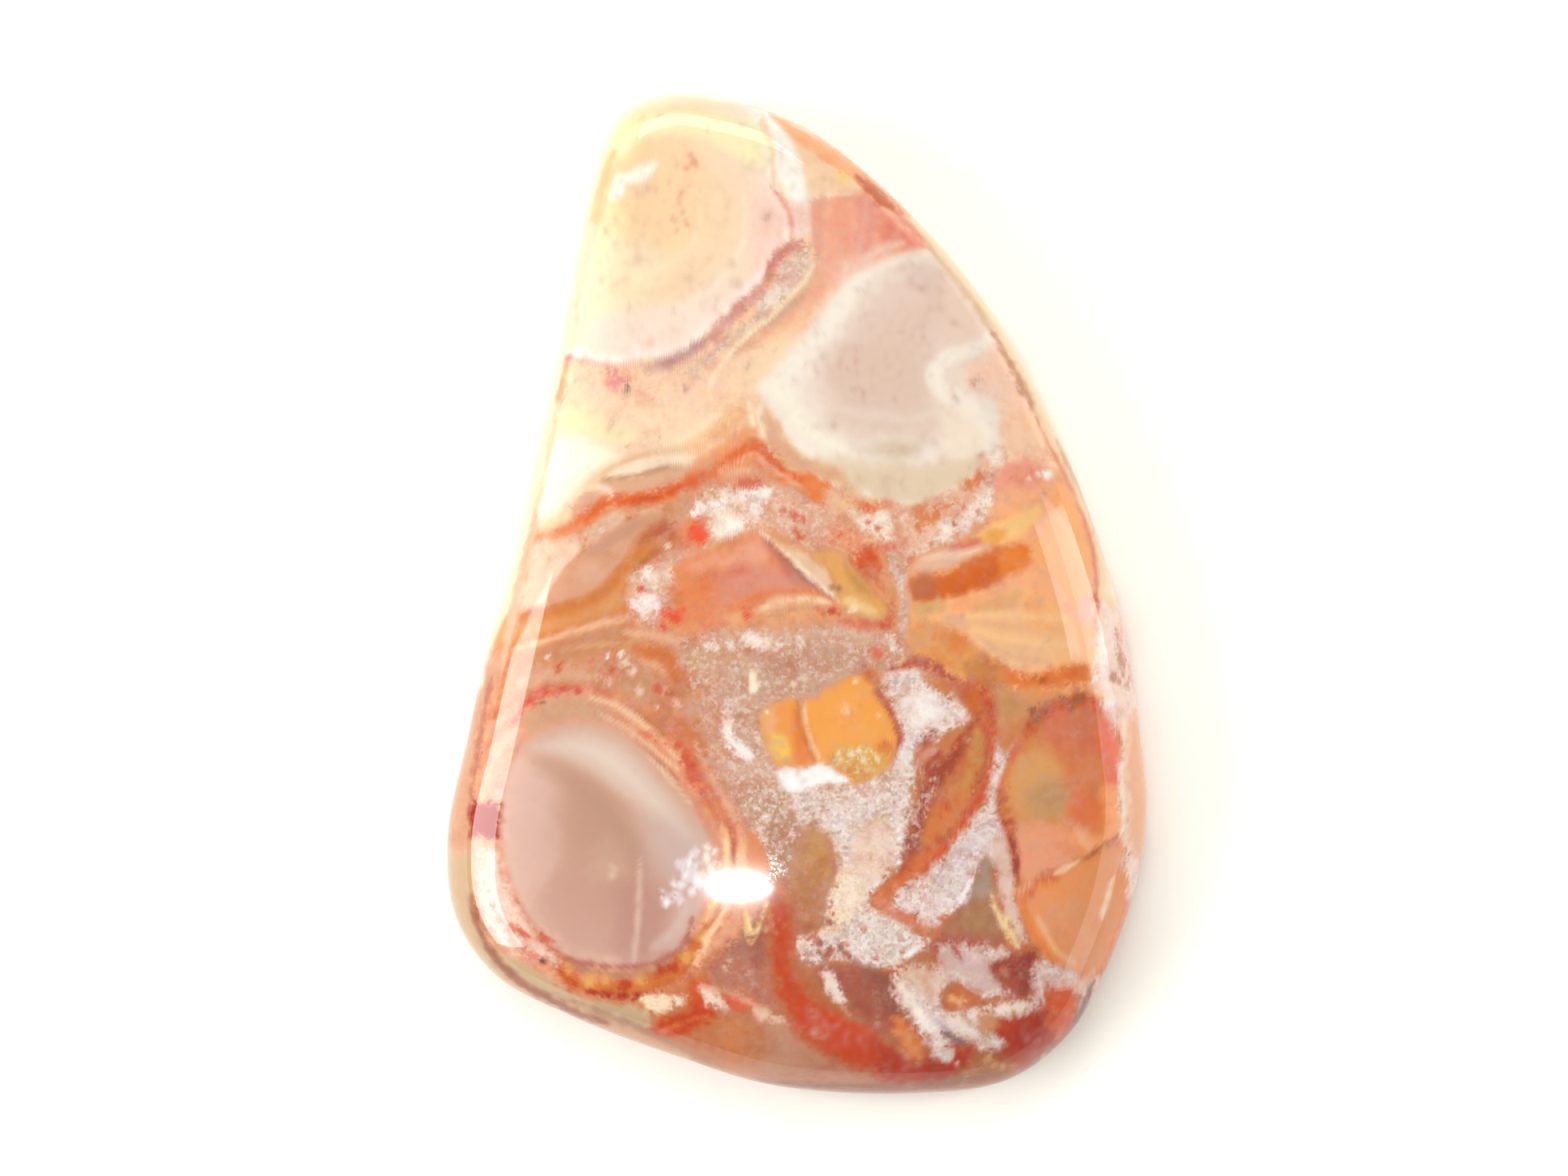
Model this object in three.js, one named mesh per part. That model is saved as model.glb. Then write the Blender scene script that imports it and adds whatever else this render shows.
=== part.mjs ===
// A polished freeform cabochon of crazy lace agate, lying on its flat back.
// The stone is one solid: a flat sawn back with a narrow bevel, a low upright girdle,
// a rounded shoulder that follows the outline, and a low dome over the middle.
// Millimetres, +Z up, +Y towards the narrow tip. The origin is under the middle of the outline's box.
import * as THREE from "three";

const backBevel = { inset: 0.35, height: 0.3 };
const girdleTop = 1.0;
const shoulder = { height: 2.9, bodyWidth: 4.2, tipWidth: 2.4, roundness: 2.2 };
const shoulderTaper = { from: 6, to: 21 };
const dome = { rise: 1.8, x: 0.5, y: -5, reachX: 24, reachY: 38 };
const ringCentre = new THREE.Vector2(0.3, -6);

const stations = 120;
const shoulderRings = 8;
const domeRings = 7;

// The outline, anticlockwise from the narrow tip: a nearly straight left side,
// a wide rounded foot, and a full curve up the right side.
const outlinePoints = [
  [-6.3, 25.0],
  [-8.7, 24.0],
  [-9.9, 21.9],
  [-10.8, 18.0],
  [-12.0, 12.0],
  [-13.1, 7.3],
  [-14.8, 0.0],
  [-16.4, -7.2],
  [-17.4, -12.2],
  [-17.0, -16.2],
  [-15.0, -19.1],
  [-11.1, -21.2],
  [-5.8, -23.2],
  [-1.1, -24.6],
  [5.8, -25.0],
  [10.6, -24.3],
  [13.8, -21.8],
  [15.8, -18.0],
  [17.0, -14.4],
  [17.5, -11.0],
  [17.2, -7.2],
  [16.5, -2.4],
  [15.2, 2.4],
  [13.4, 7.2],
  [11.1, 12.0],
  [7.7, 16.8],
  [3.4, 21.1],
  [0.6, 23.2],
  [-1.5, 24.1],
  [-3.8, 24.7],
];

function smoothstep(from, to, value) {
  const t = THREE.MathUtils.clamp((value - from) / (to - from), 0, 1);
  return t * t * (3 - 2 * t);
}

// Equally spaced points on the outline, each with its outward direction.
function outlineStations() {
  const corners = outlinePoints.map(([x, y]) => new THREE.Vector3(x, y, 0));
  const curve = new THREE.CatmullRomCurve3(corners, true, "centripetal");
  const points = curve.getSpacedPoints(stations).slice(0, stations);
  return points.map((point, i) => {
    const before = points[(i + stations - 1) % stations];
    const after = points[(i + 1) % stations];
    const along = new THREE.Vector2(after.x - before.x, after.y - before.y).normalize();
    return { point: new THREE.Vector2(point.x, point.y), outward: new THREE.Vector2(along.y, -along.x) };
  });
}

// The shoulder is narrower round the tip, where the outline turns tightly.
function shoulderWidthAt(y) {
  const tip = smoothstep(shoulderTaper.from, shoulderTaper.to, y);
  return THREE.MathUtils.lerp(shoulder.bodyWidth, shoulder.tipWidth, tip);
}

function domeHeightAt(x, y) {
  const acrossShare = (x - dome.x) / dome.reachX;
  const alongShare = (y - dome.y) / dome.reachY;
  return dome.rise * (1 - acrossShare ** 2 - alongShare ** 2);
}

// The section from the middle of the back round to the top. Each stop says how far it lies
// from the outline: inset in millimetres, across as a share of the shoulder's width, and
// inward as a share of the way from the shoulder to the middle.
function sectionStops() {
  const stops = [
    { inward: 1, height: 0 },
    { inset: backBevel.inset, height: 0 },
    { inset: 0, height: backBevel.height },
    { inset: 0, height: girdleTop },
  ];
  for (let ring = 1; ring <= shoulderRings; ring++) {
    const angle = (ring / shoulderRings) * (Math.PI / 2);
    const across = 1 - Math.max(0, Math.cos(angle)) ** (2 / shoulder.roundness);
    const up = Math.sin(angle) ** (2 / shoulder.roundness);
    stops.push({ across, height: girdleTop + shoulder.height * up, domed: up });
  }
  for (let ring = 1; ring <= domeRings; ring++) {
    stops.push({ inward: ring / domeRings, height: girdleTop + shoulder.height, domed: 1 });
  }
  return stops;
}

function placeOnStone(station, stop) {
  const width = shoulderWidthAt(station.point.y);
  const inset = stop.inset ?? (stop.across ?? 1) * width;
  const place = station.point.clone().addScaledVector(station.outward, -inset);
  if (stop.inward !== undefined) place.lerp(ringCentre, stop.inward);
  const lift = (stop.domed ?? 0) * domeHeightAt(place.x, place.y);
  return new THREE.Vector3(place.x, place.y, stop.height + lift);
}

// A lathe gives the closed net of rings, and each ring is then pushed out to the outline.
function cabochonGeometry() {
  const ring = outlineStations();
  const stops = sectionStops();
  const profile = stops.map((stop, i) => {
    const onAxis = i === 0 || i === stops.length - 1;
    return new THREE.Vector2(onAxis ? 0 : 1, i);
  });
  const geometry = new THREE.LatheGeometry(profile, stations);
  const position = geometry.getAttribute("position");
  for (let turn = 0; turn <= stations; turn++) {
    stops.forEach((stop, i) => {
      const place = placeOnStone(ring[turn % stations], stop);
      position.setXYZ(turn * stops.length + i, place.x, place.y, place.z);
    });
  }
  geometry.computeBoundingBox();
  const middle = geometry.boundingBox.getCenter(new THREE.Vector3());
  geometry.translate(-middle.x, -middle.y, 0);
  geometry.computeVertexNormals();
  return geometry;
}

const polishedAgate = new THREE.MeshStandardMaterial({ color: "#d99a78", roughness: 0.12, metalness: 0 });
const stone = new THREE.Mesh(cabochonGeometry(), polishedAgate);
stone.name = "agate_cabochon";

const group = new THREE.Group();
group.add(stone);

export default group;
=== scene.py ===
import math

import bpy
import numpy as np
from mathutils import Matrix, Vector, noise


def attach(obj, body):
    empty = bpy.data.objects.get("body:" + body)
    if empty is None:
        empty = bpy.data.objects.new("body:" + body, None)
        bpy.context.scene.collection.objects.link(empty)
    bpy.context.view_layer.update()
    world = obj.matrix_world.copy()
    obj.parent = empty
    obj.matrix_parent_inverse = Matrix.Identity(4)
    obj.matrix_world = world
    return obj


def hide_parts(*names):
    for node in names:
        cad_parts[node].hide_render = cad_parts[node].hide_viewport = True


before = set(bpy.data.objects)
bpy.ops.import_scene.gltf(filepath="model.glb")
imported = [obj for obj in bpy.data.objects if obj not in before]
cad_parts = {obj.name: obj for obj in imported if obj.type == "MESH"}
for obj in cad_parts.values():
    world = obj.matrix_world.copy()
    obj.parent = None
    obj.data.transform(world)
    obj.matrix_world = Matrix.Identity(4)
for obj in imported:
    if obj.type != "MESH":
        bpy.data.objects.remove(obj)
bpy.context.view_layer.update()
bpy.ops.object.select_all(action="DESELECT")
print("frame loaded")

mm = 0.001


def linear(hexColour, alpha=1.0):
    channels = [int(hexColour[i:i + 2], 16) / 255 for i in (1, 3, 5)]
    return [c / 12.92 if c <= 0.04045 else ((c + 0.055) / 1.055) ** 2.4 for c in channels] + [alpha]


def smoothStep(low, high, value):
    t = np.clip((value - low) / (high - low), 0, 1)
    return t * t * (3 - 2 * t)


# A smooth curve through the points, read at places from 0 to 1 along it
def smoothLoop(points, places, closed=True):
    count = len(points)
    spans = count if closed else count - 1
    along = np.asarray(places) * spans
    start = np.minimum(np.floor(along).astype(int), spans - 1)
    t = (along - start)[:, None]
    if closed:
        before, here, after, later = (points[(start + step) % count] for step in (-1, 0, 1, 2))
    else:
        before, here, after, later = (points[np.clip(start + step, 0, count - 1)] for step in (-1, 0, 1, 2))
    return 0.5 * (2 * here + (after - before) * t
                  + (2 * before - 5 * here + 4 * after - later) * t ** 2
                  + (3 * here - before - 3 * after + later) * t ** 3)


# The stone's shape: the same rounded shoulder and low dome as the solid that it stands for
stone = {
    "girdleTop": 1.0, "bevelInset": 0.35, "bevelHeight": 0.3,
    "shoulderHeight": 2.9, "bodyWidth": 4.2, "tipWidth": 2.4, "roundness": 2.2,
    "taperFrom": 6, "taperTo": 21,
    "domeRise": 1.798, "domeX": 0.5, "domeY": -5, "domeReachX": 24, "domeReachY": 38,
    "middle": (0.2, -3.0), "faceCells": 284, "backCells": 120, "sectionSteps": 400,
    "insideSolid": 0.999, "levelGap": 0.01, "bridgeGap": 0.02, "smoothAngle": 25,
}


# The outline is the top edge of the CAD stone's girdle, taken anticlockwise from the narrow tip
def readOutline(node):
    corners = np.array([vertex.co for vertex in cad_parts[node].data.vertices]) / mm
    ring = corners[np.abs(corners[:, 2] - stone["girdleTop"]) < stone["levelGap"]][:, :2]
    ring = np.unique(np.round(ring, 3), axis=0)
    turn = np.arctan2(stone["middle"][0] - ring[:, 0], ring[:, 1] - stone["middle"][1])
    ring = ring[np.argsort(turn % (2 * math.pi))]
    return np.roll(ring, -np.argmax(ring[:, 1]), axis=0) * stone["insideSolid"]


outline = readOutline("agate_cabochon")


def domeHeight(x, y):
    across = (x - stone["domeX"]) / stone["domeReachX"]
    along = (y - stone["domeY"]) / stone["domeReachY"]
    return stone["domeRise"] * (1 - across ** 2 - along ** 2)


# A square sheet is wound onto the stone: its rings of squares become rings of the outline
def ringPlaces(sheet):
    u, v = sheet[:, 0], sheet[:, 1]
    ring = np.maximum(np.abs(u), np.abs(v))
    safe = np.maximum(ring, 1e-9)
    sides = [(np.abs(v) >= np.abs(u)) & (v > 0), (np.abs(u) > np.abs(v)) & (u < 0),
             (np.abs(v) >= np.abs(u)) & (v <= 0)]
    turn = np.select(sides, [-u / safe, 2 - v / safe, 4 + u / safe], 6 + v / safe) / 8
    return ring, turn % 1


def outlineAt(turn):
    step = 0.0005
    point = smoothLoop(outline, turn)
    ahead = smoothLoop(outline, (turn + step) % 1) - smoothLoop(outline, (turn - step) % 1)
    ahead /= np.linalg.norm(ahead, axis=1)[:, None]
    outward = np.stack([ahead[:, 1], -ahead[:, 0]], axis=1)
    return point, outward


def faceShape(sheet):
    ring, turn = ringPlaces(sheet)
    point, outward = outlineAt(turn)
    middle = np.array(stone["middle"])
    tip = smoothStep(stone["taperFrom"], stone["taperTo"], point[:, 1])
    width = stone["bodyWidth"] + (stone["tipWidth"] - stone["bodyWidth"]) * tip
    inner = point - outward * width[:, None]
    toInner = np.linalg.norm(inner - middle, axis=1)

    # one section of the shoulder, walked at an even pace from the girdle to the dome
    angle = np.linspace(0, math.pi / 2, stone["sectionSteps"])
    across = 1 - np.maximum(np.cos(angle), 0) ** (2 / stone["roundness"])
    up = np.sin(angle) ** (2 / stone["roundness"])
    steps = np.hypot(np.diff(across) * stone["bodyWidth"], np.diff(up) * stone["shoulderHeight"])
    walked = np.concatenate([[0], np.cumsum(steps)])
    shoulderLength = walked[-1]
    girdleLength = stone["girdleTop"] - stone["bevelHeight"]

    total = toInner + shoulderLength + girdleLength
    walk = (1 - ring) * total
    onShoulder = np.clip(walk - girdleLength, 0, shoulderLength)
    acrossHere = np.interp(onShoulder, walked, across)
    upHere = np.interp(onShoulder, walked, up)
    place = point - outward * (acrossHere * width)[:, None]
    inward = np.clip((walk - girdleLength - shoulderLength) / toInner, 0, 1)[:, None]
    place = place + (middle - place) * inward
    low = stone["bevelHeight"] + np.clip(walk, 0, girdleLength)
    height = low + stone["shoulderHeight"] * upHere + upHere * domeHeight(place[:, 0], place[:, 1])
    return np.column_stack([place, height])


def backShape(sheet):
    ring, turn = ringPlaces(sheet)
    point, outward = outlineAt(turn)
    middle = np.array(stone["middle"])
    lastRing = 1 - 2 / stone["backCells"]
    bevel = np.clip((ring - lastRing) / (1 - lastRing), 0, 1)
    place = point - outward * (stone["bevelInset"] * (1 - bevel))[:, None]
    place = middle + (place - middle) * np.minimum(ring / lastRing, 1)[:, None]
    return np.column_stack([place, bevel * (stone["bevelHeight"] - stone["bridgeGap"])])


def woundSheet(name, cells, shape):
    bpy.ops.mesh.primitive_grid_add(x_subdivisions=cells, y_subdivisions=cells, size=2)
    sheet = bpy.context.object
    sheet.name = name
    flat = np.zeros(len(sheet.data.vertices) * 3)
    sheet.data.vertices.foreach_get("co", flat)
    places = shape(flat.reshape(-1, 3)[:, :2])
    sheet.data.vertices.foreach_set("co", (places * mm).ravel())
    sheet.data.update()
    return sheet


def buildStone():
    face = woundSheet("polished_stone", stone["faceCells"], faceShape)
    back = woundSheet("sawn_back", stone["backCells"], backShape)
    bpy.ops.object.mode_set(mode="EDIT")
    bpy.ops.mesh.select_all(action="SELECT")
    bpy.ops.mesh.flip_normals()
    bpy.ops.object.mode_set(mode="OBJECT")
    face.select_set(True)
    bpy.context.view_layer.objects.active = face
    bpy.ops.object.join()
    bpy.ops.object.mode_set(mode="EDIT")
    bpy.ops.mesh.select_all(action="DESELECT")
    bpy.ops.mesh.select_mode(type="EDGE")
    bpy.ops.mesh.select_non_manifold()
    bpy.ops.mesh.bridge_edge_loops()
    bpy.ops.mesh.select_all(action="SELECT")
    bpy.ops.mesh.normals_make_consistent(inside=False)
    bpy.ops.mesh.select_all(action="DESELECT")
    bpy.ops.object.mode_set(mode="OBJECT")
    bpy.ops.object.shade_smooth_by_angle(angle=math.radians(stone["smoothAngle"]))
    return face


polishedStone = buildStone()
print("stone shaped:", len(polishedStone.data.polygons), "faces")


# The markings, from the lowest to the top one. They are colour in the stone, so none is raised.
# Each is drawn on a sketch of 25 units to the millimetre, whose y runs down, and from the last
# "drawFrom" place, so that a group can be moved as one. It is kept as a depth in millimetres: how far
# a place lies inside the marking's edge. The sketch was drawn looking down from "eye", so a place high
# on the dome is met a little further out, and at "trueHeight" just where it is.
sketch = {"middle": (996, 740), "unitsPerMm": 25, "eye": (-0.64, -7.4, 218.6), "trueHeight": 1.0,
          "from": (0, 0)}
markings = []


def drawFrom(x, y):
    sketch["from"] = (x, y)


# soft is how far the edge blends and rag how uneven it is, both in millimetres. grain goes from 0.1 in
# smooth chalcedony to 1 in white sugary quartz. inks are one colour, or colours at depths
def addMarking(name, kind, points, inks, soft, rag, grain, strength, width=0):
    fromX, fromY = sketch["from"]
    moved = [(point[0] + fromX, point[1] + fromY, *point[2:]) for point in points]
    inks = [(0, inks)] if isinstance(inks, str) else inks
    markings.append({"name": name, "kind": kind, "points": moved, "inks": inks, "width": width,
                     "soft": soft, "rag": rag, "grain": grain, "strength": strength})


def patch(name, corners, inks, soft=0.2, rag=0.2, grain=0.3, strength=1.0):
    addMarking(name, "patch", corners, inks, soft, rag, grain, strength)


def seam(name, path, width, inks, soft=0.12, rag=0.06, grain=0.3, strength=1.0):
    addMarking(name, "seam", path, inks, soft, rag, grain, strength, width)


def flecks(name, dots, inks, soft=0.11, rag=0.2, grain=0.3, strength=1.0):
    addMarking(name, "flecks", dots, inks, soft, rag, grain, strength)


# Grounds, which the rest lie on
drawFrom(560, 600)
patch("upperGround", [(0, -540), (900, -540), (900, 40), (640, 40), (380, -20), (140, 60), (0, 60)],
      "#FFCFA6", soft=0.4, rag=0.12)
patch("middleGround",
      [(0, 70), (140, 68), (200, 32), (300, 4), (380, -38), (450, 2), (530, 40), (600, 42), (670, 6),
       (740, -40), (920, -60), (920, 300), (540, 300), (240, 300), (0, 300)], "#E3A076", soft=0.3, grain=0.5)
patch("lowerGround", [(-20, 260), (240, 250), (540, 250), (940, 250), (940, 850), (-60, 850), (-60, 400)],
      "#CC8058", soft=0.6, rag=0.3, grain=0.5)

# The salmon jasper beside the tip
drawFrom(1000, 240)
patch("salmonJasper",
      [(0, -130), (3, -40), (12, 20), (15, 70), (5, 115), (-40, 160), (-100, 200), (-140, 230), (-100, 260),
       (-50, 250), (10, 190), (50, 140), (80, 110), (120, 85), (160, 78), (320, 60), (300, -120)],
      [(0, "#F8C4A8"), (0.5, "#F6B69A")], soft=0.3, rag=0.25, grain=0.35)
patch("peachCap", [(-16, -64), (30, -52), (78, -18), (76, 0), (40, 3), (12, 7), (3, -15)], "#FDD8B4",
      soft=0.25, rag=0.12)
flecks("peachCapSpot", [(54, -22, 22)], "#FCD892", soft=0.3, rag=0.08)
seam("peachCapLine", [(8, 7), (35, 2), (72, 0)], 0.2, "#FFE4CC")
patch("salmonStreak", [(12, 16), (34, 10), (30, 60), (26, 100), (8, 112), (14, 70)], "#EAA28A", soft=0.25,
      strength=0.8)
patch("salmonCentre", [(36, 10), (64, 4), (70, 60), (56, 90), (34, 100), (34, 60)], "#F3A88E", soft=0.25)
patch("roseJasper", [(66, 2), (90, -4), (104, 10), (102, 60), (86, 78), (66, 80), (64, 40)],
      [(0, "#F6AE98"), (0.5, "#F0A28E")])
patch("redJasper", [(98, 22), (118, 26), (150, 50), (170, 76), (120, 74), (98, 68)],
      [(0, "#F6A68E"), (0.5, "#F0907C")])
seam("roseStreakOne", [(84, 4), (80, 40), (74, 75)], 0.3, "#F6B8A4", soft=0.2, strength=0.7)
seam("roseStreakTwo", [(128, 36), (116, 60)], 0.4, "#F8B8A2", soft=0.2, strength=0.6)
seam("roseLine", [(72, 92), (86, 80), (102, 70), (130, 62)], 0.42, "#FACCB8", soft=0.2)
patch("palePinkJoin", [(32, 92), (60, 80), (90, 90), (76, 104), (50, 112), (34, 112)], "#F8CDBC", soft=0.3)
seam("salmonRibbon", [(44, 60), (30, 110), (-8, 158), (-55, 196)], 1.2, "#F4B096", soft=0.4, rag=0.2,
     strength=0.8)
seam("beigeRibbon", [(12, 112), (-10, 140), (-40, 164), (-68, 184), (-88, 206)], 0.55, "#D8AE92", soft=0.2,
     rag=0.15)
seam("peachRibbon", [(40, 122), (0, 164), (-40, 192), (-75, 220)], 0.8, "#FACDA6", soft=0.3, rag=0.15,
     strength=0.9)
patch("peachHollow",
      [(-45, 188), (-15, 176), (12, 184), (-38, 242), (-60, 260), (-95, 252), (-108, 238), (-92, 215)],
      "#FDDCB8", soft=0.4)
patch("pinkHollow", [(-180, 230), (-138, 222), (-100, 222), (-95, 250), (-140, 246), (-180, 240)], "#F8D2B8",
      soft=0.35)

# The cream nodule at the narrow tip
drawFrom(800, 200)
patch("creamTip",
      [(-240, 246), (-240, -160), (145, -160), (150, -50), (168, 0), (175, 40), (188, 65), (190, 96),
       (174, 112), (158, 150), (134, 174), (100, 204), (70, 230), (50, 243), (0, 250), (-35, 255),
       (-80, 248)], [(0, "#FFFAF0"), (0.35, "#FEF2E6"), (0.7, "#FBE2CE"), (2.0, "#FCDEC0"), (4.0, "#FCDDB6"),
       (6.0, "#FBD6A8")], soft=0.12, rag=0.1, grain=0.15)
patch("creamTipLeft", [(-65, 90), (0, 90), (30, 130), (0, 180), (-60, 210), (-88, 220)], "#FDECC8", soft=0.8,
      rag=0.3, grain=0.12, strength=0.8)
patch("tipYellow", [(-48, 36), (-10, 40), (0, 70), (-20, 92), (-55, 80)], "#FFE8B4", soft=0.4, strength=0.8)
patch("tipPeachHeart",
      [(-8, -20), (30, -28), (64, -20), (84, 15), (84, 62), (62, 98), (22, 106), (-15, 88), (-12, 36),
       (-10, 4)], "#FCD8AE", soft=0.8, rag=0.35, grain=0.2, strength=0.8)
# Pale top of the tip: partly the stone's cream, partly a painted reflection of the softbox beyond the tip
patch("tipPaleAndReflection",
      [(-30, -28), (0, -60), (60, -68), (125, -58), (156, -40), (160, 0), (130, 0), (80, -28), (40, -34),
       (0, -28), (-24, -5)], "#FDF2C4", soft=0.4, rag=0.15, grain=0.1)
seam("tipArcInner", [(72, 36), (77, 72), (60, 110), (30, 132), (-8, 138)], 0.3, "#FFEACC", soft=0.18,
     strength=0.5)
seam("tipArcSecond", [(105, 36), (107, 80), (85, 125), (50, 153), (5, 165), (-35, 162)], 0.3, "#F8D6AC",
     soft=0.18, strength=0.5)
seam("tipArcThird", [(130, 45), (132, 90), (115, 130), (85, 162), (50, 181), (0, 192), (-55, 190)], 0.34,
     "#FFF0DC", soft=0.18, strength=0.6)
seam("tipArcOuter",
     [(157, 62), (153, 100), (136, 140), (105, 172), (70, 198), (20, 215), (-35, 222), (-78, 218)], 0.3,
     "#F8D8B8", soft=0.18, strength=0.4)
patch("lilacTip", [(140, 45), (172, 44), (186, 70), (184, 96), (162, 130), (144, 138), (134, 90)], "#FDD6C8",
      soft=0.5, strength=0.8)
patch("pinkTipFoot",
      [(-65, 230), (-60, 197), (0, 186), (70, 176), (130, 145), (152, 142), (138, 170), (98, 196), (62, 226),
       (0, 240)], "#FEE8DC", soft=0.4, rag=0.15, grain=0.2, strength=0.7)
patch("whiteTipPatch",
      [(-39, 45), (-35, 32), (-30, 18), (-15, 12), (0, 3), (22, -1), (20, 7), (8, 20), (-5, 26), (-18, 26),
       (-22, 38), (-30, 46)], "#FFF9EA", soft=0.16, rag=0.12, grain=0.1)
flecks("pinkTipFlecks",
       [(66, 2, 12), (58, 6, 9), (51, 40, 9), (50, 48, 8), (53, 62, 8), (40, 72, 8), (58, 76, 8),
        (38, 30, 6), (62, -8, 7), (46, 88, 6), (62, 28, 6)], "#F4BA9C", soft=0.12, rag=0.12)
flecks("mauveTipFlecks", [(115, 130, 14), (120, 152, 17)], "#E8CDB6", soft=0.2, rag=0.08)
flecks("pinkTipDot", [(13, 227, 11)], "#F8C8BA", soft=0.14, rag=0.08)
patch("whiteBand",
      [(148, -72), (156, -50), (166, -24), (168, 5), (173, 30), (186, 50), (202, 62), (211, 50), (207, 25),
       (201, 0), (192, -24), (176, -46), (162, -62)], [(0, "#FFF4E4"), (0.3, "#FFFCF2")], rag=0.12,
      grain=0.15)
patch("palePinkBand", [(186, 56), (208, 54), (212, 85), (204, 102), (190, 100)], "#FBDDD0", soft=0.25,
      rag=0.15)
seam("tipRedLine", [(164, 32), (174, 44), (184, 60), (190, 80), (188, 96)], 0.22, "#F0AA98", rag=0.08)
seam("tipTanLine", [(164, -14), (166, 10), (168, 32)], 0.2, "#F6E0BC")

# The plum seam under the nodule and its granular border
drawFrom(880, 360)
patch("granularBorder",
      [(105, -45), (134, -54), (136, -20), (118, 0), (85, 32), (50, 60), (13, 88), (-12, 110), (-34, 104),
       (0, 82), (45, 44), (75, 14), (90, -20)], "#E4C2AC", soft=0.16, rag=0.15, grain=0.75)
patch("granularWhite", [(70, 12), (95, -8), (110, -2), (98, 16), (75, 30)], "#F4E2D4", grain=0.7)
seam("plumBlob", [(128, -55), (112, -55), (97, -46), (86, -32), (80, -16)], 0.6,
     [(0, "#DE9A90"), (0.25, "#D48480")], soft=0.14, rag=0.12, grain=0.5)
seam("pinkSeam", [(86, -20), (68, 2), (46, 24), (24, 44), (4, 64), (-18, 80)], 0.7,
     [(0, "#E8B8A8"), (0.2, "#E0A69A")], soft=0.16, rag=0.12, grain=0.5)
seam("plumSeam", [(4, 64), (-18, 78), (-38, 90), (-54, 96), (-74, 100)], 0.62,
     [(0, "#D8A8A2"), (0.2, "#C49490")], soft=0.14, rag=0.12, grain=0.5)
seam("pinkThread", [(-160, 89), (-140, 94), (-114, 97), (-80, 94)], 0.26, "#F0B0A8")
seam("creamThread",
     [(136, -48), (134, -25), (122, -6), (104, 12), (75, 42), (46, 66), (28, 86), (10, 114), (4, 138)], 0.26,
     "#FDE8CA", rag=0.08)

# The grey nodule on the right
drawFrom(1010, 490)
patch("greyNodule",
      [(110, -172), (85, -162), (65, -152), (50, -140), (35, -110), (0, -70), (-62, -2), (-58, 50), (-5, 98),
       (70, 138), (130, 147), (190, 128), (240, 82), (290, 66), (410, 50), (410, -90), (240, -170),
       (170, -182)], [(0, "#FBE8D8"), (0.5, "#FBEEE2"), (2.4, "#F5E6DA"), (4.5, "#EEDCCE")], soft=0.3,
      rag=0.12, grain=0.12)
patch("greyCore",
      [(72, -124), (90, -148), (130, -168), (160, -172), (260, -160), (250, -90), (224, -66), (180, -44),
       (162, 10), (110, 30), (50, 26), (12, 4), (6, -28), (22, -54), (40, -79), (54, -102)],
      [(0, "#F2DED2"), (0.8, "#EAD1C5"), (2.4, "#E8CBBC")], soft=0.7, grain=0.12)
patch("greyCoreRight", [(170, -160), (254, -154), (248, -90), (226, -66), (186, -46), (170, -70)], "#F4D8C6",
      soft=0.7, grain=0.12)
patch("greyCoreLow", [(30, -50), (90, -70), (140, -50), (158, 0), (170, 50), (110, 62), (50, 55), (22, 20)],
      "#E2C6B5", soft=0.9, rag=0.3, grain=0.12, strength=0.75)
# Painted highlights: two near-white seams where the grey nodule catches the light
seam("noduleHighlightSeam", [(64, -144), (42, -118), (24, -88), (-6, -52), (-42, -20)], 1.1, "#FBF1E4", soft=0.45,
     rag=0.15, grain=0.1)
seam("noduleHighlightArc", [(-58, -8), (-42, -6), (-26, 8), (-10, 34), (14, 58), (50, 76)], 0.9, "#FBF3E2", soft=0.35,
     rag=0.1, grain=0.1)
seam("noduleWaveUpper", [(0, 2), (40, 20), (90, 30), (140, 32), (166, 18)], 0.4, "#EEDDCF", soft=0.25,
     rag=0.12, strength=0.8)
seam("noduleWaveMiddle", [(-10, 30), (30, 51), (80, 58), (140, 56)], 0.34, "#F0E2D2", soft=0.22, rag=0.12,
     strength=0.7)
seam("noduleWaveLower", [(30, 82), (80, 90), (150, 94), (200, 86)], 0.4, "#EBDCC4", soft=0.25, rag=0.12,
     strength=0.7)
patch("peachFlank",
      [(212, -50), (250, -80), (390, -70), (390, 70), (255, 88), (242, 55), (228, 10), (196, -8),
       (190, -30)], [(0, "#FADCCA"), (1.0, "#FFD4BC")], soft=0.35)
patch("peachFlankLow", [(246, 15), (320, 0), (390, 10), (350, 90), (252, 94)], "#FFD2B2", soft=0.5)
patch("creamApron", [(172, -2), (212, 18), (236, 55), (232, 86), (200, 108), (168, 96), (166, 40)],
      "#F8E6D2", soft=0.5, rag=0.15, grain=0.15, strength=0.85)
seam("squiggle",
     [(230, -76), (218, -60), (196, -52), (174, -43), (160, -28), (160, -12), (172, 1), (196, 12), (216, 32),
      (228, 58), (228, 84)], 0.9, "#FBEFE2", soft=0.28, rag=0.12, grain=0.12)
patch("oliveLens", [(74, 72), (96, 65), (130, 66), (140, 74), (118, 83), (88, 81)], "#CCB492", soft=0.7,
      rag=0.12, strength=0.75)
patch("beigeFoot",
      [(10, 82), (50, 82), (130, 90), (220, 82), (226, 100), (190, 122), (130, 140), (70, 130), (30, 112)],
      "#E8D2B6", soft=0.4, rag=0.15, grain=0.2)
seam("tanFoot", [(30, 110), (75, 135), (130, 146), (185, 130), (222, 106)], 0.5, "#EBC19A", soft=0.2,
     rag=0.15, grain=0.5)

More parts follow.
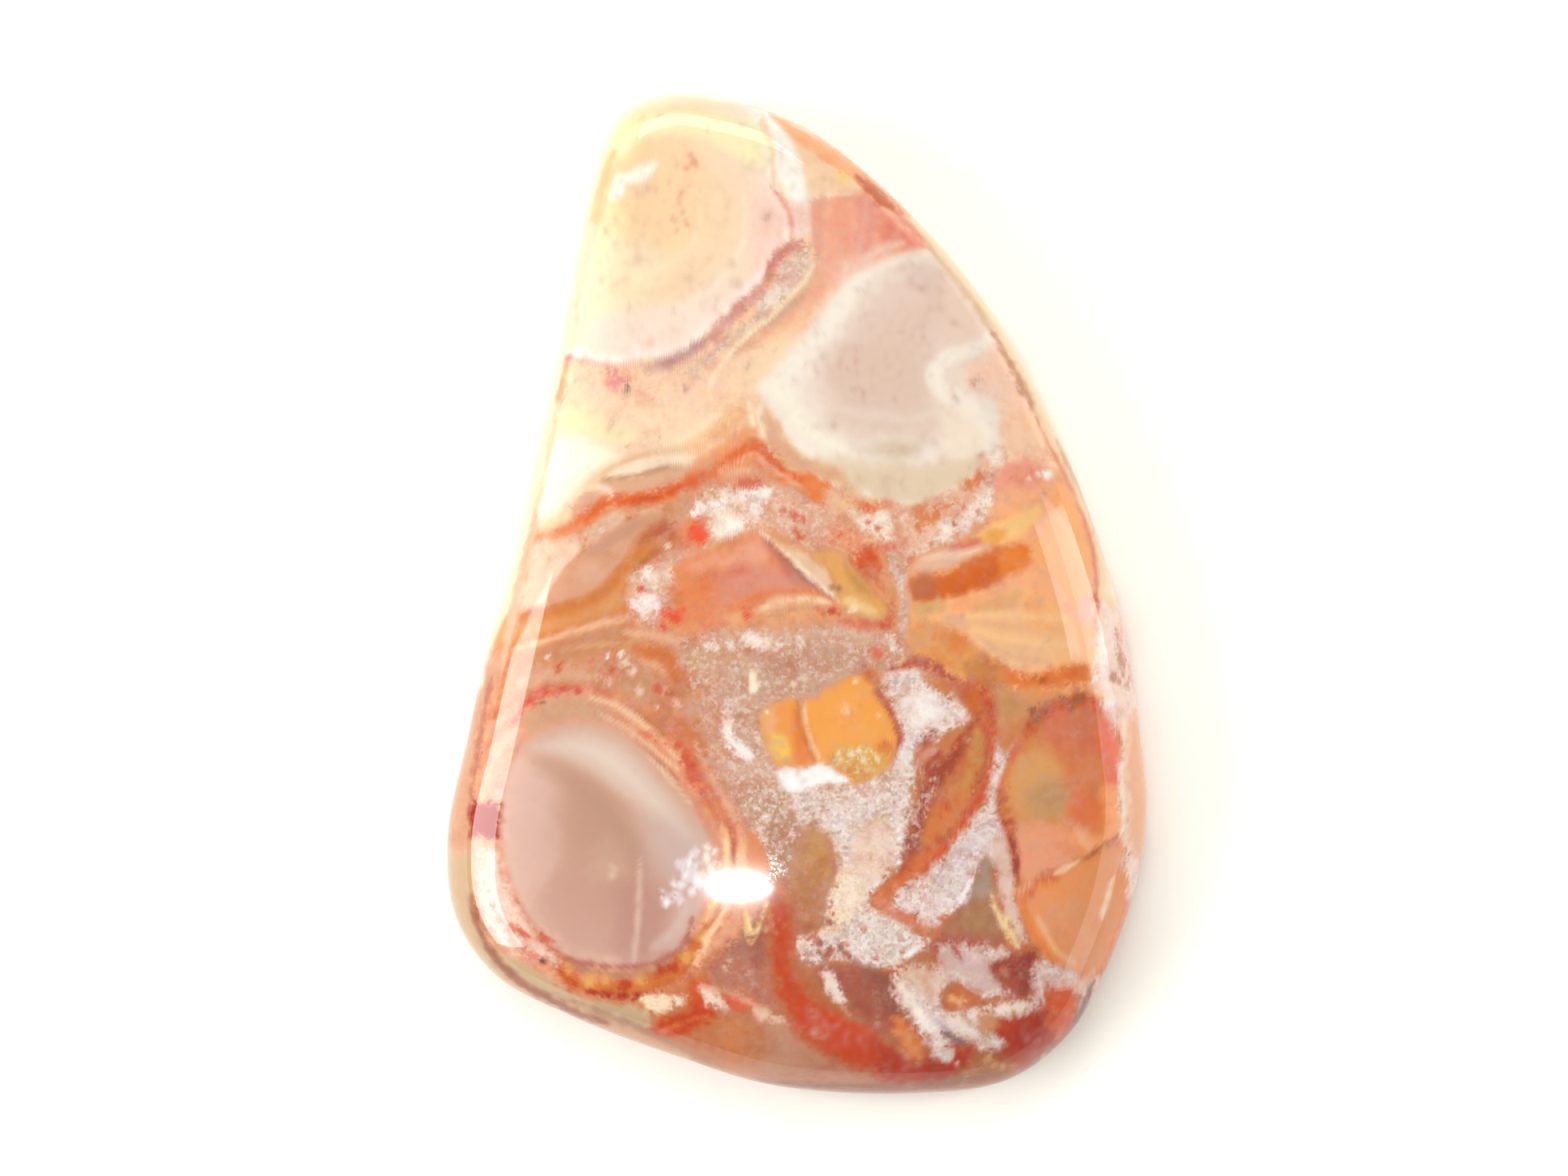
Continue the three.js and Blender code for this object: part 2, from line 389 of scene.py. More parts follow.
# The banded nodule on the left
drawFrom(730, 530)
patch("bandedNodule",
      [(-170, -68), (-10, -73), (70, -66), (130, -50), (170, -40), (220, -30), (205, -5), (175, 21),
       (140, 43), (90, 57), (30, 74), (0, 90), (-30, 118), (-170, 132)],
      [(0, "#FBD4B0"), (0.8, "#FBD8B8"), (2.0, "#FCDCBC")], soft=0.3, rag=0.15, grain=0.35)
patch("noduleRose", [(-14, -68), (70, -68), (136, -52), (132, -30), (70, -34), (0, -38)], "#F9D2B8",
      soft=0.4, rag=0.25, grain=0.5, strength=0.7)
patch("yellowBand", [(-170, -18), (-30, -22), (5, -16), (35, 0), (70, 14), (40, 26), (-10, 22), (-170, 26)],
      "#FDE8BC", soft=0.3, rag=0.15, grain=0.15)
patch("ivoryBand",
      [(-170, 16), (-30, 8), (15, 18), (45, 32), (50, 42), (22, 60), (-2, 76), (-30, 110), (-70, 130),
       (-170, 135)], [(0, "#FCE8C8"), (0.4, "#FEF4DA"), (0.8, "#FFFBE6")], soft=0.35, rag=0.12, grain=0.1)
patch("pinkRedPatch", [(25, -60), (38, -67), (56, -60), (54, -48), (38, -45), (26, -51)], "#F0A29A",
      rag=0.18, grain=0.5)
flecks("darkPit", [(53, -46, 7)], "#6A4030", rag=0.08)
patch("roseShade", [(8, 70), (22, 56), (46, 42), (70, 32), (100, 26), (82, 40), (50, 54), (22, 70)],
      "#F0C4A4", soft=0.22, rag=0.12, strength=0.8)
seam("noduleLineOne", [(82, 50), (110, 36), (136, 22), (160, 8), (182, -10), (200, -24)], 0.36, "#F8C490",
     soft=0.16, rag=0.1)
seam("noduleLineTwo", [(60, 42), (96, 30), (126, 18), (150, 2), (170, -16)], 0.3, "#FEEAC8", soft=0.14,
     rag=0.1)
seam("noduleLineThree", [(130, 36), (154, 23), (176, 8), (196, -8), (208, -20)], 0.3, "#F2B888", soft=0.14,
     rag=0.1)
patch("creamLamina",
      [(22, 68), (38, 56), (70, 43), (108, 37), (132, 38), (142, 46), (144, 58), (122, 52), (94, 57),
       (66, 66)], [(0, "#F8DDBE"), (0.2, "#FCE6CA")], soft=0.12, rag=0.06, grain=0.15)
seam("taupeLineUpper", [(46, 48), (76, 37), (106, 32), (130, 31)], 0.3, "#E8C09C")
patch("taupeLens",
      [(20, 69), (46, 68), (70, 65), (96, 57), (122, 53), (138, 58), (128, 68), (102, 78), (80, 86),
       (54, 89), (34, 86)], [(0, "#D8A484"), (0.2, "#E0B090")], soft=0.12, rag=0.08, grain=0.2)
seam("taupeLineLower", [(20, 68), (46, 67), (72, 63), (100, 55), (130, 52)], 0.26, "#C89C78", soft=0.11)
seam("creamHook", [(132, 40), (142, 48), (150, 64)], 0.22, "#FADCBC", soft=0.11)
patch("roseFold", [(-20, 122), (-8, 94), (8, 82), (22, 83), (36, 90), (22, 104), (8, 120), (-8, 132)],
      [(0, "#E8B898"), (0.3, "#E2AC92")], soft=0.14, rag=0.1)
seam("pinkLoop", [(6, 78), (20, 79), (32, 84), (40, 94)], 0.3, "#FCDEC6")

# The notch where three nodules meet
drawFrom(950, 510)
patch("amberNotch", [(2, 4), (16, 2), (35, 35), (62, 60), (100, 72), (108, 94), (50, 87), (22, 70), (5, 52)],
      [(0, "#EFC8A0"), (0.4, "#E2B090")], rag=0.12)
patch("peachNotch", [(-45, 42), (-25, 20), (-6, 2), (2, 30), (0, 48), (-20, 56), (-42, 64)], "#F6C49C",
      rag=0.15)
seam("notchLineLeft", [(-14, -8), (-10, 12), (-4, 34), (0, 50)], 0.22, "#FDEACA")
seam("notchLineRight", [(-4, -4), (0, 18), (5, 38), (12, 56)], 0.22, "#FBE2C0")

# The orange-red seam across the stone
drawFrom(690, 590)
seam("orangeSeam",
     [(0, 86), (22, 72), (44, 58), (62, 42), (86, 36), (114, 34), (146, 26), (174, 14), (196, 0), (220, -16),
      (250, -30), (265, -20), (295, 5), (330, 16), (355, 34), (390, 46), (450, 56), (510, 36), (560, -2)],
     1.05, [(0, "#EE9262"), (0.3, "#E4703C")], soft=0.16, rag=0.22, grain=0.45)
seam("seamRedLeft", [(72, 34), (100, 36), (130, 31), (160, 20), (188, 6)], 0.36, "#DA5C2E", soft=0.14,
     rag=0.2)
patch("seamRoot", [(0, 94), (10, 74), (36, 64), (46, 72), (26, 90), (10, 100)], "#E8905E")
seam("orangeSeamUpper", [(178, -6), (206, -24), (234, -44), (254, -52)], 0.5, "#EFA070", soft=0.2, rag=0.15)
seam("orangeSeamLight", [(210, 0), (252, -22), (270, -6), (310, 16), (350, 40)], 0.24, "#F6B088", rag=0.1)
patch("orangeWedge", [(312, 8), (340, 12), (344, 42), (324, 38)], "#EC8448", soft=0.16, rag=0.12)
seam("pinkLineNotch", [(218, 4), (235, -2), (255, 0)], 0.24, "#F4B898")

# Brown and amber bands on the left
drawFrom(740, 640)
patch("brownBands",
      [(-180, 50), (-40, 40), (0, 16), (40, -2), (100, -14), (160, -38), (190, -28), (140, 0), (122, 50),
       (60, 90), (60, 150), (130, 170), (160, 210), (140, 260), (60, 260), (-20, 230), (-100, 240),
       (-180, 260)], "#D8946C", soft=0.25, grain=0.45)
patch("palePinkBlob",
      [(-180, 50), (-64, 36), (-24, 32), (-10, 44), (-34, 72), (-52, 102), (-68, 120), (-180, 130)],
      "#F6D2B8", soft=0.25, rag=0.15)
patch("paleGranular",
      [(-4, 22), (16, 2), (50, -8), (90, -8), (80, 2), (46, 10), (22, 28), (2, 42), (-12, 44)],
      [(0, "#E8B898"), (0.3, "#EAC0A2")], soft=0.16, grain=0.6)
patch("greyBrownLens",
      [(-2, 50), (18, 28), (42, 12), (70, 2), (96, 2), (84, 12), (60, 26), (40, 44), (16, 54)],
      [(0, "#D8A486"), (0.3, "#CF9878")], soft=0.14, rag=0.1, grain=0.2)
patch("pinkBeigeLens",
      [(-56, 114), (-44, 84), (-28, 64), (-10, 52), (20, 46), (44, 36), (44, 50), (30, 68), (16, 86),
       (0, 98), (-22, 108)], [(0, "#DFA686"), (0.3, "#DBA384")], soft=0.12, rag=0.1, grain=0.25)
patch("lensPale", [(-14, 66), (4, 60), (18, 70), (12, 84), (-6, 88), (-18, 80)], "#E4AE92", soft=0.25,
      rag=0.15, strength=0.8)
seam("lensDivide", [(32, 58), (22, 52), (8, 50), (-6, 54)], 0.26, "#D09674", soft=0.14, strength=0.8)
patch("reddishBrown", [(56, 32), (74, 16), (98, 4), (112, 10), (106, 32), (90, 44), (64, 52)],
      [(0, "#CC7C58"), (0.4, "#C06C4A")], soft=0.25, grain=0.4)
patch("amberBand",
      [(-180, 150), (-60, 122), (-24, 114), (4, 102), (26, 82), (44, 58), (62, 40), (86, 32), (98, 40),
       (80, 54), (60, 78), (48, 104), (44, 128), (20, 137), (-16, 150), (-60, 162), (-180, 186)],
      [(0, "#D6824C"), (0.35, "#DA8C54"), (0.8, "#E09C62")], soft=0.16, rag=0.12, grain=0.25)
seam("amberUpper", [(-50, 124), (-10, 112), (20, 94), (44, 66), (66, 44)], 0.5, "#D4803E", soft=0.2,
     rag=0.12, strength=0.8)
seam("amberBrown", [(44, 98), (52, 80), (66, 60), (84, 46)], 0.6, "#C27848", soft=0.2, rag=0.15,
     strength=0.8)
seam("amberLight", [(-100, 172), (-56, 160), (-24, 150), (12, 140), (46, 132)], 0.34, "#F0BC94", rag=0.08)
patch("brownBand", [(-100, 186), (-50, 164), (0, 152), (42, 146), (46, 168), (0, 178), (-50, 190)],
      "#CC8C64", rag=0.15)
seam("brownBandLine", [(-40, 172), (4, 166), (50, 164)], 0.24, "#E4AC84", soft=0.14, strength=0.7)
patch("salmonBrown",
      [(-100, 210), (-60, 192), (50, 176), (122, 182), (140, 220), (120, 244), (40, 240), (-40, 222),
       (-90, 240)], "#D2906E", soft=0.4, rag=0.25, grain=0.6)
patch("beigeBeforeRings", [(-100, 220), (-76, 200), (-40, 192), (4, 198), (0, 210), (-40, 212), (-76, 226)],
      "#DCA888", soft=0.25, grain=0.4)
seam("creamSwirl", [(44, 150), (66, 152), (96, 158), (124, 172), (144, 182)], 0.5, "#EAB898", soft=0.16,
     rag=0.14)
seam("creamSwirlTwo", [(60, 184), (86, 194), (104, 210)], 0.36, "#EAB08C", soft=0.16, rag=0.14)
patch("orangePatch", [(52, 166), (84, 164), (108, 178), (118, 206), (100, 216), (88, 192), (60, 182)],
      [(0, "#D88050"), (0.3, "#D27444")], soft=0.18, grain=0.4)
patch("olivePale", [(44, 202), (66, 202), (72, 222), (56, 232), (38, 222)], "#C8986C", soft=0.25,
      strength=0.7)
flecks("brownFlecks",
       [(8, 204, 8), (22, 212, 7), (42, 188, 9), (50, 200, 8), (60, 222, 7), (-56, 183, 5), (92, 222, 6),
        (106, 238, 7)], "#F0CCB4", rag=0.14)
flecks("redBrownFlecks", [(-42, 196, 9), (-38, 188, 6), (82, 222, 10), (96, 226, 8), (24, 198, 6)],
       "#CC5A3C", rag=0.16)
# Painted glints: near-white specks of light on the bands
flecks("glints", [(12, 22, 4), (37, 177, 6), (20, 180, 4), (-56, 183, 4), (95, 43, 5)], "#FDF8F0", rag=0.08)

# White and pink quartz of the upper middle
drawFrom(850, 610)
patch("quartzCrown",
      [(12, 12), (50, -8), (90, -12), (140, 2), (180, 24), (212, 30), (270, 28), (292, 42), (286, 90),
       (260, 90), (235, 60), (206, 62), (180, 80), (150, 62), (110, 58), (80, 64), (45, 74), (10, 90),
       (0, 70), (8, 40)], [(0, "#E0A588"), (0.5, "#E6B49C")], soft=0.25, rag=0.3, grain=0.75)
patch("crownBrown", [(-10, 18), (16, 8), (30, 30), (16, 50), (-4, 54)], "#D69E7E", soft=0.25, rag=0.25,
      grain=0.6)
patch("crownOrange", [(2, 42), (30, 30), (40, 50), (30, 74), (6, 84), (-4, 66)], "#E48E68", soft=0.25,
      rag=0.25, grain=0.6)
patch("crownPink",
      [(30, 8), (70, -2), (114, 2), (126, 22), (100, 40), (70, 62), (40, 58), (40, 32), (18, 30)],
      [(0, "#EABCA4"), (0.4, "#F2D0BC")], rag=0.3, grain=0.9)
patch("crownWhiteUpper", [(56, 6), (86, -2), (114, 2), (110, 16), (90, 26), (70, 18), (48, 24)],
      [(0, "#F6DCCC"), (0.3, "#FFF8F0")], soft=0.14, rag=0.25, grain=0.9)
patch("crownWhiteLower", [(42, 42), (58, 30), (76, 36), (84, 46), (70, 60), (52, 64), (38, 54)],
      [(0, "#FBE8D6"), (0.25, "#FFFCF2")], soft=0.14, grain=0.5)
flecks("crownWhiteSpots", [(94, 8, 20), (26, 26, 9), (18, 30, 7), (42, 18, 9), (108, 6, 10), (98, 30, 8)],
       "#FFFAF4", soft=0.12, grain=0.8)
patch("redBlobNotch", [(64, -4), (76, -11), (90, -14), (102, -8), (92, 0), (72, 2)],
      [(0, "#E08060"), (0.2, "#D8604A")], soft=0.14, grain=0.5)
patch("peachGranular",
      [(110, 12), (140, 8), (162, 24), (190, 30), (208, 50), (180, 78), (154, 74), (126, 58), (108, 40)],
      [(0, "#E2AC8E"), (0.5, "#E6B498")], soft=0.3, rag=0.3, grain=0.75)
patch("peachBeige", [(184, 2), (206, 8), (230, 24), (210, 32), (190, 28)], "#F0C098", rag=0.25, grain=0.6)
patch("salmonSlab", [(182, 48), (210, 40), (234, 54), (246, 74), (220, 90), (200, 80), (182, 76)],
      [(0, "#EAA480"), (0.5, "#E89A74")], soft=0.3, rag=0.3, grain=0.7)
patch("whitePinkBlock", [(208, 26), (236, 26), (266, 32), (272, 50), (258, 66), (238, 58), (218, 42)],
      [(0, "#F2CCB2"), (0.3, "#FCEAD6")], soft=0.16, rag=0.25, grain=0.75)
patch("redSlab", [(212, 94), (222, 82), (236, 70), (252, 72), (254, 96), (240, 112), (226, 112)],
      [(0, "#E27E58"), (0.25, "#D85A34")], rag=0.3, grain=0.55)
patch("brownEdgeOchre",
      [(214, 96), (232, 106), (250, 130), (268, 146), (270, 168), (258, 166), (246, 142), (226, 120)],
      [(0, "#DA8A5C"), (0.3, "#D07A4A")], soft=0.16, grain=0.45)
flecks("crownRed", [(18, 52, 18), (24, 62, 20), (16, 62, 12)], "#F05A38", soft=0.12)
flecks("crownRedSpots",
       [(142, 34, 8), (130, 28, 6), (154, 40, 6), (236, 42, 5), (248, 52, 6), (226, 34, 5), (150, 62, 9),
        (146, 54, 7), (200, 58, 9)], "#DC6A50", rag=0.16, grain=0.5)
flecks("crownRedRight", [(260, 74, 9), (267, 73, 8), (256, 84, 7)], "#EC7260", rag=0.14)
patch("streakyJoin", [(268, 34), (290, 30), (310, 40), (306, 80), (290, 90), (274, 70)], "#EFB496", rag=0.3,
      grain=0.75)
seam("streakyJoinOne", [(276, 30), (280, 46), (278, 66)], 0.3, "#FCE0CC", soft=0.14, rag=0.2, grain=0.7)
patch("quartzLeft",
      [(-67, 112), (-54, 96), (-38, 90), (-10, 84), (14, 86), (18, 108), (-4, 128), (0, 154), (-22, 177),
       (-52, 172), (-67, 142)], [(0, "#E0A88C"), (0.4, "#E4B49C")], rag=0.3, grain=0.75)
patch("quartzLeftUpper", [(-50, 106), (-38, 96), (-28, 108), (-30, 126), (-44, 128)], "#F4DCCC", soft=0.14,
      rag=0.25, grain=0.9)
patch("quartzLeftLower", [(-60, 138), (-44, 128), (-28, 134), (-26, 156), (-42, 166), (-58, 156)],
      [(0, "#EFC8BC"), (0.2, "#F6DEDA")], soft=0.14, rag=0.25, grain=0.9)
patch("creamBlob", [(-18, 102), (-4, 96), (8, 100), (10, 114), (-2, 124), (-16, 118)],
      [(0, "#F2D2BA"), (0.2, "#FAE8DA")], soft=0.12, rag=0.14, grain=0.6)
flecks("quartzLeftSpots", [(-38, 102, 8), (-44, 142, 12), (-50, 150, 8), (-4, 118, 8), (-34, 138, 7)],
       "#FFF8F2", rag=0.16, grain=0.7)
patch("quartzStrip",
      [(2, 186), (50, 174), (116, 174), (190, 170), (265, 176), (274, 202), (210, 216), (116, 220),
       (50, 218), (2, 208)], [(0, "#DAA68C"), (0.5, "#DCB49E")], soft=0.3, rag=0.3, grain=0.72)

# The salmon fragment in the middle
drawFrom(930, 700)
patch("salmonFragment",
      [(-92, 12), (-64, -6), (-26, -18), (16, -36), (38, -28), (114, 42), (116, 64), (78, 70), (30, 76),
       (-8, 80), (-39, 84), (-68, 96), (-84, 90), (-94, 70), (-80, 44)],
      [(0, "#E89A72"), (0.3, "#E8946C"), (1.2, "#E4906E")], soft=0.16, grain=0.45)
patch("fragmentLeft", [(-88, 22), (-50, 12), (-34, 30), (-40, 62), (-68, 84), (-88, 68)], "#E58A5C",
      soft=0.4, rag=0.3, grain=0.5)
patch("fragmentTop", [(-68, 6), (-30, -10), (14, -28), (36, -14), (30, 6), (-10, 12), (-50, 16)], "#EFA888",
      soft=0.4)
patch("fragmentRoseHeart", [(-34, 16), (10, 4), (46, 8), (70, 26), (80, 38), (40, 40), (0, 46), (-30, 44)],
      "#E09480", soft=0.45, rag=0.25)
patch("fragmentRoseDark", [(-26, 12), (0, 4), (8, 14), (-8, 22), (-24, 22)], "#D87E68", soft=0.25)
patch("fragmentMauve", [(22, -24), (36, -28), (50, -10), (70, 12), (90, 32), (74, 36), (54, 22), (36, 0)],
      "#CC8070", soft=0.25, rag=0.15)
seam("fragmentOrange", [(-22, 66), (0, 52), (24, 44), (54, 40), (82, 40), (104, 48)], 0.42,
     [(0, "#EA9468"), (0.18, "#E47E4C")], soft=0.16, rag=0.14)
patch("fragmentFoot",
      [(-25, 72), (6, 58), (40, 50), (80, 48), (110, 52), (114, 62), (80, 72), (30, 78), (-10, 84)],
      [(0, "#ECA474"), (0.2, "#EDAC80")], soft=0.18, rag=0.15, grain=0.4)
seam("fragmentCream", [(18, 64), (38, 54), (64, 48), (90, 50), (108, 54)], 0.42,
     [(0, "#F0C098"), (0.16, "#F8D4B0")], soft=0.14, rag=0.1)
seam("fragmentTaupe", [(32, 70), (56, 62), (80, 60), (104, 58)], 0.2, "#C89470", strength=0.7)
seam("fragmentMauveEdge", [(24, -30), (45, -10), (70, 14), (92, 34), (116, 50)], 0.4,
     [(0, "#C47E6C"), (0.15, "#AC6A60")], soft=0.11, rag=0.08)
patch("fragmentEdgeBeige",
      [(16, -38), (32, -32), (54, -20), (82, -6), (100, 6), (110, 24), (116, 44), (104, 38), (84, 22),
       (60, 0), (38, -20)], [(0, "#EFC4A0"), (0.2, "#EEC8A8")], soft=0.12, rag=0.08)
seam("fragmentEdgeCream", [(20, -36), (40, -20), (64, 2), (86, 22), (106, 40), (120, 52)], 0.3,
     [(0, "#F4CCAA"), (0.12, "#FDE8D0")], soft=0.11)
seam("fragmentUpperRed", [(-80, 6), (-52, -6), (-18, -20), (14, -36)], 0.3, "#E8906C", soft=0.14, rag=0.18)
flecks("brightRed",
       [(-96, 68, 18), (-88, 74, 16), (-102, 78, 12), (3, 66, 12), (-130, 38, 6), (-118, 65, 7),
        (-82, 62, 12)], "#EC5636", soft=0.12)
flecks("redUnderFragment", [(100, 66, 12), (110, 65, 14), (94, 63, 8), (118, 68, 8)], "#CE5446", soft=0.12,
       rag=0.15)
seam("redFoot", [(114, 72), (140, 80), (166, 82), (190, 80)], 0.55, [(0, "#E29A7C"), (0.2, "#DC7C5E")],
     soft=0.16, rag=0.2, grain=0.5)
flecks("redFootSpot", [(184, 76, 12), (176, 82, 9)], "#D45A40", soft=0.12, rag=0.16)

# The ochre fragment beside it
drawFrom(1040, 690)
patch("ochreFragment",
      [(-27, 4), (-10, -1), (6, -2), (16, 8), (24, 20), (40, 36), (56, 50), (68, 66), (68, 78), (52, 81),
       (32, 78), (18, 70), (6, 58), (2, 42), (-8, 22)], [(0, "#E0A060"), (0.25, "#E4AA68")], soft=0.12,
      rag=0.1)
patch("ochreOrange", [(-22, 5), (0, 2), (12, 14), (22, 34), (12, 38), (-4, 22)], "#EAA862", rag=0.12)
patch("ochreOlive", [(16, 16), (28, 28), (46, 44), (50, 54), (32, 48), (20, 34)], "#CC9450", rag=0.12)
patch("ochreBright", [(10, 58), (26, 54), (44, 62), (64, 74), (48, 79), (30, 76), (16, 68)],
      [(0, "#EDB873"), (0.2, "#F4CE90")], soft=0.14, rag=0.1)
# Painted glint: a yellow-white spot of light
flecks("ochreGlint", [(26, 71, 10)], "#FDF0D8", soft=0.12, rag=0.12)
flecks("ochrePit", [(1, 44, 9), (8, 45, 6)], "#96784E", rag=0.08)
seam("ochreRedEdge", [(46, 22), (58, 40), (72, 58), (80, 78)], 0.3, "#D8744C", soft=0.14, rag=0.16)
seam("lilacChannel", [(72, 4), (86, 16), (94, 38), (96, 62), (90, 86), (84, 116)], 1.0,
     [(0, "#DCA890"), (0.25, "#DCB6A2")], soft=0.2, rag=0.25, grain=0.75)
patch("lilacChannelHeart", [(70, 14), (84, 12), (96, 32), (94, 52), (78, 48)], "#DCBEB0", rag=0.25,
      grain=0.75)

# The amber fan and lobe on the right
drawFrom(1200, 640)
patch("amberGround",
      [(-60, 60), (20, 30), (100, -40), (200, 0), (240, 160), (180, 240), (40, 240), (-20, 190), (-60, 150)],
      [(0, "#FBB27C"), (1.0, "#FDB584")], soft=0.25)
patch("borderPink",
      [(-80, 16), (-50, 0), (-20, -24), (6, -40), (40, -68), (56, -74), (62, -50), (50, -20), (26, 10),
       (-10, 36), (-50, 54), (-70, 60)], [(0, "#EAAC90"), (0.35, "#F0C0A6")], rag=0.3, grain=0.7)
flecks("borderOrange",
       [(-40, 10, 20), (-30, 4, 16), (-50, 20, 14), (-18, -6, 10), (14, -34, 16), (20, -42, 12), (-50, 0, 9),
        (-4, -18, 8)], "#E08654", soft=0.14, rag=0.25, grain=0.5)
patch("quartzRight",
      [(-54, 54), (-40, 40), (-22, 14), (-2, 0), (16, -14), (38, -28), (46, -16), (38, 2), (14, 16),
       (-10, 32), (-34, 48)], [(0, "#F0C8B4"), (0.25, "#F8E0D2")], soft=0.14, rag=0.25, grain=0.85)
flecks("quartzRightRed", [(-6, 15, 7), (6, -6, 6), (22, 0, 5), (-60, 60, 8)], "#D26A58", rag=0.16)
flecks("quartzRightWhite", [(45, -68, 14), (52, -60, 10), (36, -12, 9), (-20, 24, 9)], "#FFF2E4", soft=0.12,
       grain=0.6)
patch("salmonRightRim", [(46, -50), (66, -66), (100, -68), (112, -50), (104, -24), (76, -6), (50, -10)],
      [(0, "#F8B496"), (0.4, "#F6A48C")], soft=0.3, grain=0.4)
patch("peachRight", [(36, 0), (62, -28), (96, -32), (116, -56), (126, -40), (120, 0), (96, 0), (60, 6)],
      "#FFB888", soft=0.35)
patch("shadeRight", [(86, 20), (104, -8), (120, -8), (118, 28), (104, 56), (90, 52)], "#FAB080", soft=0.3,
      rag=0.15)
patch("goldLobe",
      [(20, 34), (36, 16), (56, 6), (78, -2), (100, -10), (102, 4), (93, 16), (78, 30), (60, 40), (42, 41)],
      [(0, "#FFBE80"), (0.3, "#FFCB86")], soft=0.14, rag=0.12, grain=0.2)
patch("goldLobeOrange", [(26, 34), (40, 22), (58, 24), (52, 36), (38, 40)], "#F4AC54", rag=0.15)
patch("roseWedgeLens",
      [(-58, 62), (-42, 50), (-20, 44), (10, 40), (40, 42), (22, 54), (-4, 68), (-28, 76), (-50, 78),
       (-60, 74)], [(0, "#E4A888"), (0.25, "#ECBC9E")], soft=0.12, rag=0.1)
seam("lensRed", [(-12, 48), (6, 42), (22, 36)], 0.4, "#E27E64", soft=0.14, rag=0.16)
seam("lensLight", [(-50, 60), (-24, 54), (4, 52), (26, 46)], 0.3, "#F6CEB4", soft=0.14)
patch("amberWedge",
      [(-62, 82), (-40, 78), (-14, 72), (12, 58), (40, 46), (68, 39), (88, 40), (92, 52), (74, 72), (46, 87),
       (10, 105), (-26, 114), (-58, 114)], [(0, "#E07E44"), (0.3, "#DA6E32")], soft=0.18, rag=0.15,
      grain=0.35)
patch("wedgeEnd", [(50, 50), (76, 42), (92, 52), (76, 72), (50, 76)], "#EE8638", soft=0.3, rag=0.15)
patch("wedgeRoot", [(-62, 82), (-38, 76), (-28, 92), (-36, 108), (-60, 112)], "#C87250", soft=0.3, rag=0.15)
patch("olivePatch", [(-60, 114), (-40, 111), (-16, 112), (-20, 124), (-52, 128)], "#DDB076", soft=0.18,
      rag=0.12)
patch("beigeFan",
      [(-50, 136), (-26, 128), (6, 122), (42, 105), (74, 94), (96, 102), (130, 126), (148, 152), (152, 184),
       (122, 190), (93, 199), (68, 194), (40, 180), (16, 160), (-4, 146)],
      [(0, "#FABC80"), (0.3, "#FAC08A"), (1.0, "#F6BE8C")], soft=0.16, rag=0.1, grain=0.18)
patch("fanTop", [(16, 116), (50, 104), (78, 98), (72, 116), (40, 126), (14, 128)], "#EAAE78", soft=0.25,
      rag=0.1)
patch("fanPeach", [(90, 100), (118, 120), (140, 150), (110, 156), (76, 140), (74, 116)], "#FCB87C",
      soft=0.35, rag=0.1)
patch("fanFoot", [(22, 158), (60, 164), (100, 172), (120, 186), (90, 198), (62, 190), (36, 174)], "#F2BC90",
      soft=0.25, rag=0.1)
seam("fanRibOne", [(-4, 132), (36, 128), (80, 130), (130, 134)], 0.34, "#FFCF9A", soft=0.2, strength=0.7)
seam("fanRibTwo", [(4, 138), (40, 140), (80, 146), (130, 148)], 0.3, "#E8B288", soft=0.2, strength=0.6)
seam("fanRibThree", [(8, 144), (40, 154), (80, 162), (134, 166)], 0.34, "#FFCF9C", soft=0.2, strength=0.6)
seam("fanRibFour", [(14, 152), (42, 168), (72, 180), (106, 188)], 0.3, "#E2B290", soft=0.2, strength=0.6)
seam("fanEdge", [(6, 144), (26, 166), (52, 186), (80, 196)], 0.3, "#F6CCA6", soft=0.16, strength=0.7)
patch("fanPinkRoot", [(-24, 136), (0, 124), (12, 136), (4, 148), (-16, 146)], "#EAB494", rag=0.12)
flecks("brownDot", [(3, 127, 7)], "#B07858", soft=0.12, rag=0.08)
patch("amberLeftOfFan",
      [(-62, 140), (-30, 136), (4, 150), (32, 176), (40, 206), (12, 214), (-40, 195), (-66, 180)],
      [(0, "#EEB078"), (0.5, "#EAA05C")], soft=0.25, rag=0.25, grain=0.4)
patch("orangeTriangle", [(-24, 152), (0, 149), (8, 162), (0, 178), (-14, 172)], "#E48E50", soft=0.16,
      rag=0.15)
patch("brownAmber", [(6, 186), (36, 180), (62, 198), (70, 220), (36, 228), (12, 212)], "#D0884E", soft=0.25,
      grain=0.4)
patch("orangeBelowFan",
      [(52, 192), (84, 202), (112, 196), (156, 186), (164, 212), (130, 222), (80, 226), (56, 212)],
      [(0, "#E88A50"), (0.3, "#E27A3E")], soft=0.18, rag=0.22, grain=0.4)
flecks("rustSpots", [(103, 210, 12), (94, 206, 10), (112, 217, 7), (145, 232, 8)], "#B4603A", soft=0.12,
       rag=0.14)
patch("amberBeige",
      [(34, 218), (90, 226), (140, 222), (130, 234), (90, 250), (68, 285), (50, 305), (38, 260)],
      [(0, "#D89C6C"), (0.4, "#D8A074")], soft=0.25, grain=0.35)
# Painted light: an amber patch on the outline of the mirrored right softbox, inked lighter to make up for
# the weaker light on the right
patch("rightZonePaintedLight",
      [(93, 46), (114, 72), (132, 102), (143, 132), (150, 166), (156, 190), (172, 190), (174, 120),
       (166, 60), (146, 0), (124, -40), (116, 0)], [(0, "#FFAE6E"), (0.12, "#FFB272"), (1.0, "#FFB676")],
      soft=0.12, rag=0.03, grain=0.2)
patch("pinkInZone", [(150, 108), (166, 102), (168, 130), (156, 138), (146, 128)], "#FFB296", rag=0.15)
# Painted glint: pure white flecks where a spot of light and its tail shine on the surface
flecks("girdleGlint", [(109, -48, 12), (98, -46, 7), (88, -43, 5)], "#FFFFFF", soft=0.14, rag=0.1)

